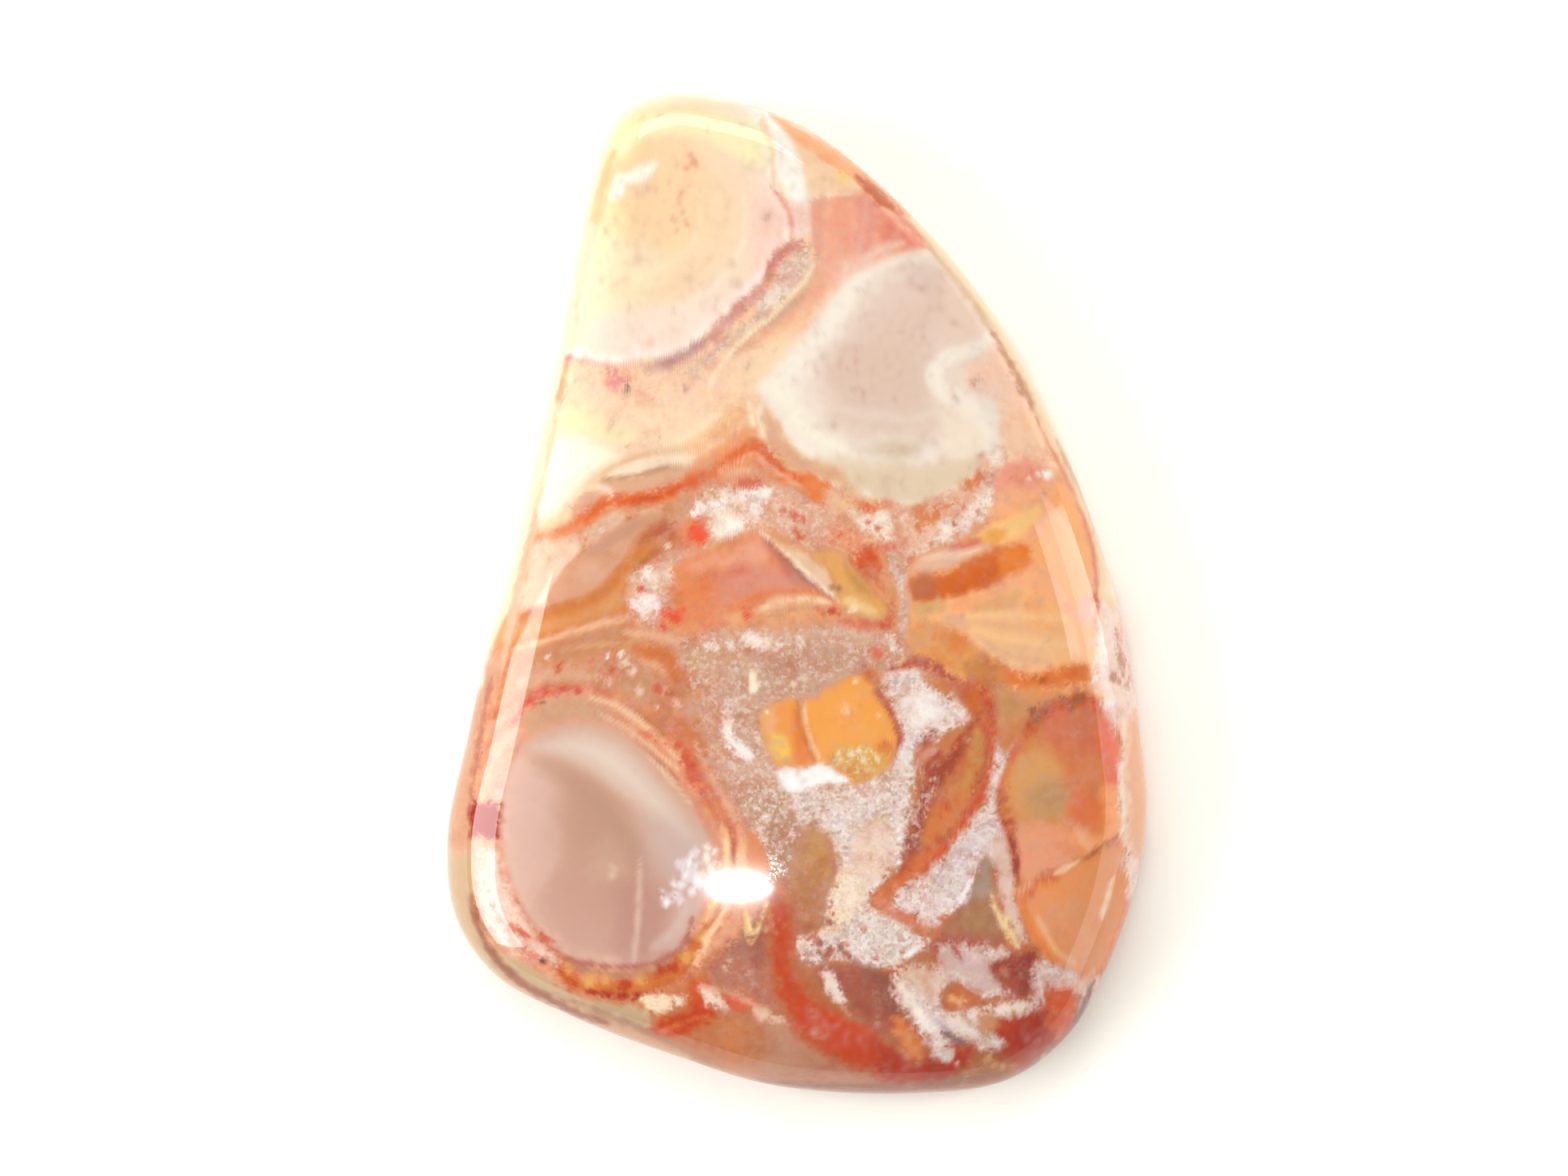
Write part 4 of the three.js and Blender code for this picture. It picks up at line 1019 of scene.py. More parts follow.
patch("footVein",
      [(155, 16), (180, 7), (212, 6), (216, -18), (236, -20), (296, -14), (302, -4), (280, 4), (278, 14),
       (288, 28), (308, 40), (306, 48), (272, 48), (256, 40), (236, 28), (222, 30), (214, 46), (222, 60),
       (262, 58), (280, 52), (326, 50), (324, 62), (292, 70), (268, 70), (278, 88), (298, 102), (280, 109),
       (244, 101), (224, 100), (230, 119), (214, 125), (202, 106), (190, 90), (172, 68), (160, 48)],
      [(0, "#DEBAB0"), (0.25, "#E6D0CA")], soft=0.14, rag=0.22, grain=0.85)
patch("veinLilac", [(216, -12), (270, -8), (280, 10), (292, 34), (266, 40), (240, 22), (220, 16)], "#D6B6B2",
      soft=0.3, rag=0.3, grain=0.6)
patch("veinBeige", [(170, 12), (208, 8), (218, 28), (206, 46), (186, 40)], "#E4C6B2", soft=0.3, rag=0.3,
      grain=0.5)
patch("veinWhite", [(158, 28), (170, 26), (186, 50), (206, 70), (222, 90), (204, 92), (182, 70)], "#FBF0EA",
      rag=0.25, grain=0.6)
patch("veinWhiteLow", [(226, 66), (262, 62), (276, 86), (254, 94), (232, 88)], "#F0DCD2", rag=0.25,
      grain=0.7)
patch("veinBar", [(282, 54), (324, 50), (324, 62), (292, 70), (280, 66)], "#F6E4D8", soft=0.12, rag=0.16,
      grain=0.5)
seam("veinBarRed", [(266, 50), (292, 47), (320, 46)], 0.2, "#C06654", rag=0.2)
seam("veinBlue", [(200, 70), (212, 77), (224, 87)], 0.3, "#B0AEBE", soft=0.16, rag=0.16, strength=0.8)
seam("veinCrack", [(216, 88), (232, 96), (248, 103)], 0.18, "#8A6A70", rag=0.16)
seam("veinFaintCrack", [(236, 62), (252, 76), (276, 94)], 0.18, "#CCA898", soft=0.14, rag=0.14)
seam("redDash", [(232, -18), (238, -8), (244, 2)], 0.2, "#BC6458", rag=0.14)
patch("orangeVein", [(218, 58), (224, 38), (236, 28), (246, 34), (262, 44), (254, 56), (232, 61)],
      [(0, "#C06448"), (0.3, "#CC7444")], soft=0.16, grain=0.4)
flecks("orangeVeinGold", [(230, 46, 8), (240, 52, 6)], "#ECAE72", soft=0.14, rag=0.16)
patch("orangeUnderBar", [(260, 68), (286, 70), (282, 88), (268, 86)], "#D2906A")
patch("darkRedBlob",
      [(278, 8), (294, -4), (312, -11), (328, -18), (342, -6), (336, 22), (326, 42), (312, 46), (304, 28),
       (286, 25)], [(0, "#AE5848"), (0.25, "#A04438")], soft=0.14, rag=0.22, grain=0.4)
flecks("blobBrown", [(293, 12, 9), (286, 17, 6)], "#B8705A", soft=0.14)
flecks("blobDark", [(320, 32, 9), (326, 0, 9), (316, 16, 7)], "#8A3A34", soft=0.16)
patch("lilacFoot", [(336, 0), (360, 4), (388, 22), (380, 36), (348, 40), (340, 57), (330, 50)],
      [(0, "#DCB8B0"), (0.3, "#E4CAC6")], soft=0.18, rag=0.25, grain=0.75)
seam("lilacFootStreak", [(338, 24), (342, 40), (345, 55)], 0.22, "#F8E8E2", rag=0.1)
patch("orangeFootRight", [(344, 42), (370, 32), (385, 34), (388, 56), (368, 90), (352, 86)],
      [(0, "#DC7048"), (0.3, "#E26236")], soft=0.25, rag=0.3, grain=0.4)
patch("palePinkFoot", [(384, 26), (418, 16), (414, 40), (398, 74), (386, 68), (388, 44)], "#F4CDBA",
      rag=0.18, grain=0.4)
seam("plumRim", [(406, 26), (396, 51), (382, 79)], 0.26, "#7E5C68", rag=0.1)
seam("brownRimLine", [(-10, 150), (90, 157), (160, 158), (230, 152), (292, 142)], 0.44, "#A0624E", soft=0.16,
     rag=0.1)
patch("whiteSliver", [(68, 18), (78, 14), (90, 36), (96, 52), (88, 52), (76, 38)], "#F4E0D6", soft=0.12,
      rag=0.16, grain=0.7)
flecks("footRedSpecks",
       [(80, -60, 6), (58, -28, 5), (100, -20, 5), (136, -4, 6), (120, -40, 4), (168, -10, 5)], "#D47058",
       rag=0.14)

# Painted glints: white specks and lines that stand in for light caught on the edges of small cracks and pits
drawFrom(1120, 1030)
flecks("glintsLarge",
       [(3, 8, 7), (4, 18, 6.5), (2, 0, 4.5), (3, 48, 5.5), (0, 56, 4.5), (-24, 76, 5), (-31, 82, 4),
        (-53, 44, 4), (-36, 34, 3.5)], "#FFFFFF", rag=0.1, grain=0.1)
seam("glintLineUpper", [(99, 56), (93, 70), (84, 90), (66, 110), (54, 124)], 0.2,
     [(0, "#E4E0F0"), (0.06, "#FFFFFF")], soft=0.11, rag=0.14)
seam("glintLineLower", [(40, 143), (30, 152), (18, 160), (6, 169)], 0.18, "#FFFFFF", soft=0.11, rag=0.14)
flecks("glintSpecks",
       [(105, 278, 4), (76, 296, 3.5), (183, 290, 3), (-250, 110, 3), (-208, 10, 3), (-162, -140, 3),
        (-300, -146, 3)], "#FFF6EA", rag=0.08, grain=0.1)

# The concentric nodule at the lower left
drawFrom(770, 900)
patch("noduleRings",
      [(-170, 5), (-90, -42), (-10, -38), (60, 5), (110, 55), (155, 120), (185, 190), (160, 260), (110, 310),
       (50, 348), (-30, 350), (-90, 325), (-170, 280), (-210, 200), (-210, 80)], [(0, "#D88A66"),
       (0.5, "#E8A685"), (1.0, "#E6946F"), (1.5, "#ECAE8E"), (2.0, "#E89C79"), (2.6, "#E4A689")], soft=0.3,
      grain=0.5)
patch("ringTan",
      [(-120, 0), (-106, -18), (-70, -32), (-30, -28), (-4, -12), (16, 12), (-10, 6), (-45, 0), (-80, 4),
       (-108, 20)], "#D2A080", rag=0.15, grain=0.35)
seam("ringSalmonOuter", [(75, 0), (92, 35), (115, 75), (135, 115), (155, 150), (170, 190)], 0.6, "#D8805C",
     soft=0.2, rag=0.2, grain=0.6)
seam("ringCreamOuter", [(98, 22), (112, 58), (132, 92), (150, 124), (168, 160), (176, 190)], 0.26, "#EAB698",
     soft=0.16, rag=0.14, grain=0.5, strength=0.8)
seam("ringBrownOuter", [(12, -16), (42, 2), (68, 26)], 0.34, "#C8784E", rag=0.14)
seam("ringCreamSecond",
     [(-32, -28), (-4, -20), (22, -4), (46, 16), (68, 38), (96, 66), (120, 104), (134, 140)], 0.3, "#F4CAA8",
     rag=0.08)
seam("ringCreamThird", [(-20, -8), (6, 6), (30, 24), (48, 38), (78, 62)], 0.26, "#F2C6A4", rag=0.08)
seam("ringRed", [(30, 14), (58, 28), (86, 48), (102, 76), (120, 108), (136, 144)], 0.42, "#DC7652",
     soft=0.18, rag=0.2, grain=0.5)
flecks("ringRedBlob", [(86, 44, 16), (94, 58, 16), (98, 74, 14), (76, 32, 12), (108, 90, 10)], "#D86144",
       soft=0.16, rag=0.22, grain=0.5)
seam("ringCreamInner", [(9, 21), (25, 36), (45, 51), (64, 70), (79, 88), (96, 106)], 0.3, "#FBDCC0")
seam("ringBrownInner", [(22, 26), (44, 42), (64, 60), (82, 80)], 0.24, "#C47A5A", rag=0.08)
seam("ringSalmonInner", [(82, 80), (102, 106), (120, 138), (132, 170)], 0.4, "#E09472", soft=0.14, rag=0.14)
seam("streakLightOne", [(132, 132), (138, 160), (138, 188)], 0.22, "#F6C8A0", rag=0.08)
seam("streakRed", [(144, 136), (148, 162), (148, 190)], 0.24, "#C45A3C", rag=0.1)
seam("streakLightTwo", [(152, 134), (158, 160), (160, 188)], 0.24, "#F4B48A", rag=0.08)
patch("orangeRootRight", [(164, 140), (180, 152), (192, 180), (186, 200), (168, 192)], "#E08A58")
seam("dottedRed", [(-128, 5), (-123, -12), (-108, -24), (-82, -36), (-58, -40), (-42, -34)], 0.34, "#DA6A54",
     rag=0.26)
flecks("dottedRedSpots",
       [(-121, -10, 8), (-109, -22, 7), (-124, 0, 6), (-86, -35, 6), (-66, -39, 6), (-48, -36, 6)],
       "#D24A38", rag=0.14)
flecks("dottedRedDark", [(-93, -22, 5)], "#603428", rag=0.08)
patch("noduleHeart",
      [(-116, 30), (-90, 12), (-66, 5), (-40, 3), (-10, 8), (14, 21), (36, 41), (64, 74), (88, 101),
       (106, 126), (120, 160), (123, 192), (114, 222), (98, 252), (85, 280), (68, 296), (40, 305), (0, 307),
       (-40, 303), (-64, 293), (-85, 276), (-110, 248), (-127, 212), (-139, 170), (-144, 131), (-137, 75)],
      [(0, "#DCAE9C"), (0.3, "#E2BAA8"), (0.9, "#DEB4A2"), (2.5, "#D0A491"), (5.0, "#C2947E")], soft=0.14,
      rag=0.06, grain=0.12)
patch("heartLeftGlow", [(-138, 85), (-114, 55), (-70, 62), (-80, 140), (-94, 200), (-122, 200)], "#E0BAAE",
      soft=1.1, rag=0.25, grain=0.12, strength=0.7)
patch("heartFoot",
      [(-80, 190), (0, 175), (76, 180), (96, 220), (80, 280), (20, 300), (-54, 292), (-90, 250)], "#C99C8E",
      soft=0.8, rag=0.3, grain=0.12, strength=0.7)
patch("heartFootShade", [(2, 200), (48, 208), (66, 250), (58, 294), (22, 306), (2, 280)], "#BE8C80",
      soft=0.8, rag=0.25, grain=0.12, strength=0.7)
patch("creamCrescent",
      [(-118, 34), (-86, 13), (-40, 4), (14, 22), (64, 74), (92, 112), (110, 146), (106, 166), (82, 160),
       (58, 144), (32, 126), (6, 104), (-28, 79), (-64, 58), (-100, 48)],
      [(0, "#D0A08A"), (0.6, "#DCBEAE"), (1.3, "#E6D0C2")], soft=0.75, rag=0.12, grain=0.1)
patch("greyCrescentFoot",
      [(32, 118), (72, 128), (102, 146), (116, 172), (110, 204), (80, 206), (52, 184), (36, 150)], "#D0B8B2",
      soft=1.0, grain=0.1, strength=0.75)
seam("heartRing", [(-122, 108), (-94, 116), (-76, 140), (-78, 176), (-96, 204)], 0.5, "#E2C0B6", soft=0.4,
     rag=0.14, grain=0.1, strength=0.3)
patch("heartMiddleGlow", [(-32, 156), (0, 144), (16, 170), (6, 196), (-26, 192)], "#DAB49E", soft=0.6,
      rag=0.3, grain=0.12, strength=0.5)
seam("heartShade", [(-90, 58), (-58, 74), (-28, 96), (-2, 124), (16, 152), (28, 184)], 1.1, "#B88E7A",
     soft=0.6, rag=0.12, grain=0.12, strength=0.6)
patch("taupeHeart", [(-70, 105), (-35, 90), (5, 130), (22, 170), (0, 184), (-35, 175), (-65, 145)],
      "#BE9686", soft=1.2, rag=0.3, grain=0.12, strength=0.45)
patch("mauveBandHeart",
      [(98, 160), (120, 170), (118, 204), (98, 242), (86, 275), (66, 292), (70, 260), (82, 220)], "#DAB6B0",
      soft=0.7, grain=0.1, strength=0.65)
seam("heartArcLight", [(92, 222), (76, 258), (46, 284)], 0.4, "#DCC2B8", soft=0.25, strength=0.6)
seam("heartPinkLine", [(30, 172), (29, 220), (27, 260), (23, 304)], 0.26, "#E2BFB0", soft=0.16, strength=0.8)
flecks("heartCream", [(0, 190, 10)], "#DFC4AE", soft=0.2)
# Painted highlight: bluish-white sparkles scattered around the lamp's highlight
flecks("paintedHighlightSparks",
       [(93, 170, 5), (92, 180, 6), (87, 194, 6), (100, 192, 4), (82, 206, 6), (73, 218, 6), (65, 226, 4),
        (82, 224, 4), (72, 204, 4), (104, 204, 5), (60, 212, 3), (93, 214, 5), (100, 182, 4), (56, 222, 3),
        (78, 184, 3)], "#F6F2FA", rag=0.22, grain=0.4)
# Thin seams by the highlight, painted pale gold: partly real seams, partly painted light from the lamp; the
# specks are painted sparkle
seam("litThreadLeft", [(138, 138), (139, 160), (136, 198)], 0.16, "#FFDCA0", soft=0.11)
seam("litThreadMiddle", [(154, 156), (153, 178), (151, 200)], 0.13, "#FAD2A0", soft=0.11)
seam("litThreadRight", [(160, 150), (161, 174), (160, 200)], 0.12, "#F0BC90", soft=0.11)
seam("litLoop", [(158, 226), (164, 248), (172, 265), (180, 254), (188, 228)], 0.17, "#FFDC9E", soft=0.11,
     rag=0.08)
seam("litLoopInner", [(160, 238), (163, 258), (168, 278), (177, 266)], 0.14, "#F2C690", soft=0.11, rag=0.08)
seam("litSpur", [(123, 226), (116, 242), (110, 252)], 0.18, "#FFD890", soft=0.11, rag=0.08)
flecks("litSpecks",
       [(114, 172, 4), (123, 164, 3), (119, 186, 4), (128, 180, 3), (108, 192, 4), (124, 194, 4),
        (116, 158, 3), (132, 254, 3), (181, 208, 3)], "#FFF0DC", rag=0.12)
seam("heartLeftLine", [(-129, 212), (-116, 240), (-98, 264)], 0.3, "#C48076", rag=0.1)
seam("heartFootLine",
     [(-98, 264), (-80, 284), (-58, 299), (-25, 306), (20, 308), (50, 302), (76, 290), (90, 268), (96, 246)],
     0.34, "#B87468", soft=0.14, rag=0.1)
seam("heartOuterMauve", [(-58, 308), (-20, 316), (30, 318), (66, 308), (86, 290)], 0.55, "#C0866C",
     soft=0.16, rag=0.1)
seam("noduleOrangeBand",
     [(-94, 268), (-80, 294), (-64, 314), (-42, 328), (-8, 333), (30, 332), (62, 322), (82, 305), (102, 284),
      (118, 260), (134, 238)], 0.95, [(0, "#CC6C40"), (0.25, "#D47C46")], soft=0.14, rag=0.2, grain=0.45)
seam("bandRedLeft", [(-94, 266), (-84, 288), (-70, 310), (-48, 330)], 0.4, "#C4502E", rag=0.18)
flecks("bandAmberPatches",
       [(-32, 324, 20), (-12, 322, 14), (30, 324, 16), (88, 296, 14), (112, 268, 12), (-58, 312, 10)],
       "#E6A664", soft=0.16)
flecks("bandRedPatches", [(12, 328, 16), (56, 314, 14), (72, 306, 12), (-78, 300, 10)], "#BE4C2C", soft=0.14)
seam("bandRedFoot", [(-34, 338), (0, 343), (35, 343), (62, 336)], 0.3, "#B0402C", rag=0.22)
# Two thin radial seams by the highlight: real seams, painted paler as light from the lamp falls on them
seam("litRadial", [(138, 234), (122, 260), (110, 286), (98, 306)], 0.3, "#F6CCA4", rag=0.12)
seam("litRadialOther", [(156, 240), (148, 264), (136, 286)], 0.24, "#E8A880", rag=0.12, strength=0.7)

# The flank below the nodule
drawFrom(590, 1190)
patch("oliveFlank",
      [(0, -14), (36, 0), (70, 14), (110, 42), (155, 60), (216, 72), (222, 110), (150, 110), (50, 80),
       (-10, 30)], [(0, "#CDB090"), (0.5, "#C2A684")], soft=0.25, rag=0.15, grain=0.2)
patch("pinkVeins",
      [(6, -126), (36, -124), (50, -80), (78, -30), (100, -4), (110, 16), (86, 14), (50, 0), (14, -40)],
      [(0, "#E4B4A0"), (0.4, "#EECAB8")], grain=0.7)
seam("redVeinOne", [(44, -42), (60, -24), (82, -18), (104, -14)], 0.3, "#D2705C", rag=0.2)
seam("redVeinTwo", [(22, -78), (34, -50), (56, -12), (78, 4), (100, 14)], 0.28, "#DC907C", soft=0.14,
     rag=0.22)
flecks("veinDarkSpot", [(90, 10, 4)], "#7A4434", rag=0.08)
patch("creamGranularFlank", [(216, 56), (236, 51), (252, 56), (252, 68), (236, 77), (220, 69)], "#F6DEBC",
      soft=0.14, grain=0.7)
flecks("creamGranularSpots", [(260, 60, 12), (272, 56, 9), (256, 70, 7)], "#FAE6D2", soft=0.12, rag=0.16)
patch("rustJoin", [(272, 36), (294, 32), (304, 60), (284, 72), (270, 60)], "#D4603C", rag=0.25, grain=0.5)
patch("rustLeaf",
      [(211, 100), (234, 82), (256, 72), (290, 66), (306, 72), (294, 90), (256, 106), (226, 112)],
      [(0, "#D06038"), (0.25, "#C64A26")], soft=0.14)
seam("rustLeafLine", [(236, 98), (266, 86), (294, 78)], 0.24, "#DC7848", rag=0.12)
patch("creamFootOne", [(286, 42), (302, 48), (316, 58), (324, 65), (306, 67), (296, 62)], "#FAE4D4",
      soft=0.16, grain=0.5)
patch("creamFootTwo", [(314, 50), (340, 54), (358, 66), (346, 72), (324, 66)], "#D8684A", rag=0.25,
      grain=0.5)
patch("creamFootTail", [(352, 66), (366, 70), (386, 84), (372, 85), (356, 77)], "#E6BEA6", soft=0.16,
      rag=0.18, grain=0.4)
seam("creamFootLine", [(286, 41), (312, 46), (338, 56), (362, 70)], 0.18, "#E0A48C", rag=0.16, strength=0.8)
seam("flankRimOuter",
     [(-24, -140), (-20, -90), (-10, -40), (16, 6), (60, 46), (120, 74), (200, 102), (270, 128)], 1.1,
     "#CE9A78", soft=0.2, rag=0.08, grain=0.2)
patch("oliveRimLeft", [(-40, -150), (2, -140), (2, -80), (16, -30), (40, 6), (50, 26), (10, 24), (-30, -30)],
      "#C0A07C", soft=0.25, rag=0.1, grain=0.2)
seam("flankRimLine", [(0, -70), (8, -36), (22, -6), (42, 20), (66, 40), (100, 59), (136, 76), (172, 88)],
     0.42, "#98583E", soft=0.14, rag=0.1)
seam("flankRimFaint", [(110, 56), (160, 72), (210, 94), (260, 118), (294, 134)], 0.3, "#A8785E", soft=0.16,
     rag=0.12, strength=0.8)
patch("brownFlankLeft",
      [(-30, -360), (34, -360), (24, -310), (16, -260), (8, -210), (4, -130), (-34, -130), (-40, -230)],
      [(0, "#CEA083"), (0.4, "#C89270")], rag=0.15, grain=0.4)
seam("redRimLeft", [(24, -340), (14, -290), (6, -240), (0, -190)], 0.34, "#B8684A", soft=0.14, rag=0.12)
patch("redBrownFlank", [(-5, -186), (16, -190), (34, -184), (32, -146), (12, -138), (-2, -150)], "#A4382A",
      grain=0.4)

# Round the rim: a painted pale margin, standing in for the white paper mirrored in the steep edge and
# shining through the thin stone, and a thin darker line
drawFrom(670, 140)
patch("paintedReflectionMarginLeft",
      [(-122, 710), (-70, 360), (10, 60), (70, -60), (260, -60), (235, -12), (190, -10), (130, 0), (110, 12),
       (98, 30), (87, 55), (79, 85), (71, 115), (64, 150), (57, 190), (49, 240), (42, 290), (34, 330),
       (26, 370), (16, 415), (6, 460), (-4, 510), (-15, 560), (-30, 610), (-48, 650), (-64, 690),
       (-74, 722)], [(0, "#FADDB4"), (0.4, "#FDE8C2"), (0.8, "#FEF6D8")], rag=0.05, grain=0.1)
patch("paintedReflectionMarginRight",
      [(280, -80), (480, -80), (790, 260), (800, 620), (710, 612), (705, 572), (692, 528), (677, 488),
       (662, 452), (644, 414), (623, 370), (602, 326), (578, 284), (552, 241), (522, 201), (492, 164),
       (462, 131), (433, 103), (405, 75), (372, 50), (332, 24), (298, 8)],
      [(0, "#F4D2A8"), (0.3, "#FADFBA"), (0.7, "#FDEED4")], soft=0.16, rag=0.04, grain=0.1)
seam("leftRimTop", [(136, 2), (118, 12), (102, 32), (92, 56)], 0.42, "#F8E4AC", soft=0.16)
seam("leftRimUpper", [(96, 46), (88, 72), (80, 100), (74, 126), (67, 160)], 0.55, "#EFC28E", soft=0.16,
     rag=0.08)
seam("leftRimMiddle", [(70, 140), (62, 180), (56, 212), (49, 256), (44, 296)], 0.5, "#F3D4B6", soft=0.16,
     rag=0.08)
seam("leftRimRust", [(38, 312), (32, 342), (27, 372)], 0.42, "#E2A074", soft=0.14, rag=0.1)
seam("leftRimPeach", [(28, 365), (18, 412), (8, 458), (-2, 508)], 0.4, "#F4CBA8", soft=0.14, rag=0.1)
seam("leftRimLower", [(0, 500), (-10, 548), (-22, 598), (-32, 648), (-43, 696)], 0.45, "#E8B494", soft=0.16,
     rag=0.12)
flecks("leftRimSpot", [(41, 306, 10)], "#C88888", rag=0.12)
patch("orangeTipRim",
      [(292, 0), (322, 14), (365, 38), (405, 65), (470, 122), (442, 122), (400, 88), (364, 62), (326, 34)],
      "#F8AE78", soft=0.14, rag=0.12)
seam("rustTipRim", [(400, 76), (418, 94), (434, 110), (454, 126)], 0.62, [(0, "#E07E40"), (0.2, "#C86428")],
     rag=0.14)
seam("rightRimRose", [(450, 126), (472, 146), (490, 164)], 0.3, "#E69478", rag=0.08)
seam("rightRimOlive", [(486, 160), (520, 202), (552, 244), (574, 280)], 0.3, "#E2C09C", soft=0.14, rag=0.08)
seam("rightRimBrown", [(570, 274), (592, 310), (614, 354), (630, 392)], 0.34, "#CC9470", rag=0.12)
seam("rightRimFoot",
     [(628, 390), (640, 414), (654, 440), (668, 470), (682, 503), (694, 540), (700, 578), (701, 616),
      (699, 654)], 0.28, [(0, "#EEA684"), (0.1, "#E8926C")], rag=0.08)
flecks("rightRimRed", [(698, 609, 6), (699, 602, 4)], "#C8624C", soft=0.12, rag=0.12)
seam("rightOutline", [(652, 411), (680, 472), (702, 522), (716, 566), (731, 616)], 0.22, "#DCA882", rag=0.08)


def inMillimetres(points):
    across = [(point[0] - sketch["middle"][0]) / sketch["unitsPerMm"] for point in points]
    along = [(sketch["middle"][1] - point[1]) / sketch["unitsPerMm"] for point in points]
    return np.column_stack([across, along])


# How far each place lies from a line, and how far along the line its nearest point is
def nearestOnLine(x, y, corners, closed):
    ends = np.roll(corners, -1, axis=0) if closed else corners[1:]
    starts = corners if closed else corners[:-1]
    best = np.full(len(x), 1e9, np.float32)
    along = np.zeros(len(x), np.float32)
    inside = np.zeros(len(x), bool)
    for i, (start, end) in enumerate(zip(starts, ends)):
        stretchX, stretchY = end - start
        reach = max(stretchX ** 2 + stretchY ** 2, 1e-9)
        offsetX, offsetY = x - start[0], y - start[1]
        t = np.clip((offsetX * stretchX + offsetY * stretchY) / reach, 0, 1)
        gap = (offsetX - t * stretchX) ** 2 + (offsetY - t * stretchY) ** 2
        if closed:
            rise = stretchY if abs(stretchY) > 1e-9 else 1e-9
            spans = (offsetY < 0) != (offsetY < stretchY)
            inside ^= spans & (offsetX < offsetY * (stretchX / rise))
            best = np.minimum(best, gap)
        else:
            nearer = gap < best
            best[nearer] = gap[nearer]
            along[nearer] = (i + t[nearer]) / len(starts)
    return np.sqrt(best), along, inside


# How markings are painted, in millimetres: the least blend of an edge, how far out its depth is still
# kept, and how the kind of quartz blends. A seam's ends are "seamEnd" as wide as its middle, and each
# stretch between two corners is drawn as "curveSteps" short lines
brush = {"leastSoft": 0.11, "farOut": -0.9, "quartzSoft": 0.15, "seamEnd": 0.4, "curveSteps": 3}


# How far inside a marking's edge each place lies, in millimetres; outside it is negative
def depthOf(marking, x, y):
    depth = np.full(len(x), brush["farOut"], np.float32)
    corners = inMillimetres(marking["points"]).astype(np.float32)
    if marking["kind"] == "flecks":
        for spot, (_, _, size) in zip(corners, marking["points"]):
            gap = np.hypot(x - spot[0], y - spot[1])
            depth = np.maximum(depth, size / 2 / sketch["unitsPerMm"] - gap)
        return depth
    closed = marking["kind"] == "patch"
    smooth = len(corners) * brush["curveSteps"]
    steps = np.arange(smooth) / smooth if closed else np.linspace(0, 1, smooth)
    corners = smoothLoop(corners, steps, closed).astype(np.float32)
    margin = marking["width"] / 2 - brush["farOut"]
    low, high = corners.min(0) - margin, corners.max(0) + margin
    near = (x > low[0]) & (x < high[0]) & (y > low[1]) & (y < high[1])
    if not near.any():
        return depth
    gap, along, inside = nearestOnLine(x[near], y[near], corners, closed)
    if closed:
        depth[near] = np.where(inside, gap, -gap)
    else:
        swell = np.sqrt(np.maximum(np.sin(np.pi * along), 0))
        swell = brush["seamEnd"] + (1 - brush["seamEnd"]) * swell
        depth[near] = marking["width"] / 2 * swell - gap
    return np.maximum(depth, brush["farOut"])


# From the girdle down to the back the bands lean, wave and ripple, as they do through a slab:
# by how many millimetres, and in how many radians for each millimetre across and along
slab = {
    "leanX": 1.0, "leanY": -0.8, "wave": 1.3, "ripple": 0.5, "waveX": 0.33, "waveXStart": 0.8,
    "waveY": 0.30, "rippleX": (0.9, 0.4), "rippleY": (-0.5, 0.8),
}


# Where the markings are read for each point: straight down through the face and shoulder,
# and leaning through the girdle to the back
def patternPlaces(places):
    x, y, z = places.T
    under = smoothStep(stone["girdleTop"], 0, z)
    eyeX, eyeY, eyeZ = sketch["eye"]
    spread = (eyeZ - sketch["trueHeight"]) / (eyeZ - z)
    x = eyeX + (x - eyeX) * spread
    y = eyeY + (y - eyeY) * spread
    rippleX, rippleY = (turn[0] * x + turn[1] * y for turn in (slab["rippleX"], slab["rippleY"]))
    waveX, waveY = slab["waveX"] * y + slab["waveXStart"], slab["waveY"] * x
    leanX = slab["leanX"] + slab["wave"] * np.sin(waveX) + slab["ripple"] * np.sin(rippleX)
    leanY = slab["leanY"] + slab["wave"] * np.sin(waveY) + slab["ripple"] * np.sin(rippleY)
    return (x + under * leanX).astype(np.float32), (y + under * leanY).astype(np.float32)


# The markings are painted twice, each time with its own uneven edges, and the material mixes the two
# paintings grain by grain, so that edges break up as they do between sugary quartz grains.
# An uneven edge is a slow wave and a quick one: so many to the millimetre, and about one unit high
paintings = {"paintOne": (0.55, 1.9), "paintTwo": (0.62, 2.6)}
waveHeights = {"slow": 1.5, "quick": 2.0}


def unevenness(places, slowPerMm, quickPerMm):
    return np.array([waveHeights["slow"] * noise.noise(place * slowPerMm)
                     + waveHeights["quick"] * noise.noise(place * quickPerMm)
                     for place in map(Vector, places)], np.float32)


# A marking's ink is the colour that the eye sees in the studio. The stone's own colour is a little
# deeper, because the pale room is mirrored over it
def inStone(hexColour):
    seen = np.array(linear(hexColour)[:3])
    return np.maximum(seen - agate["mirrored"], agate["leastInk"]) * agate["bodyShare"]


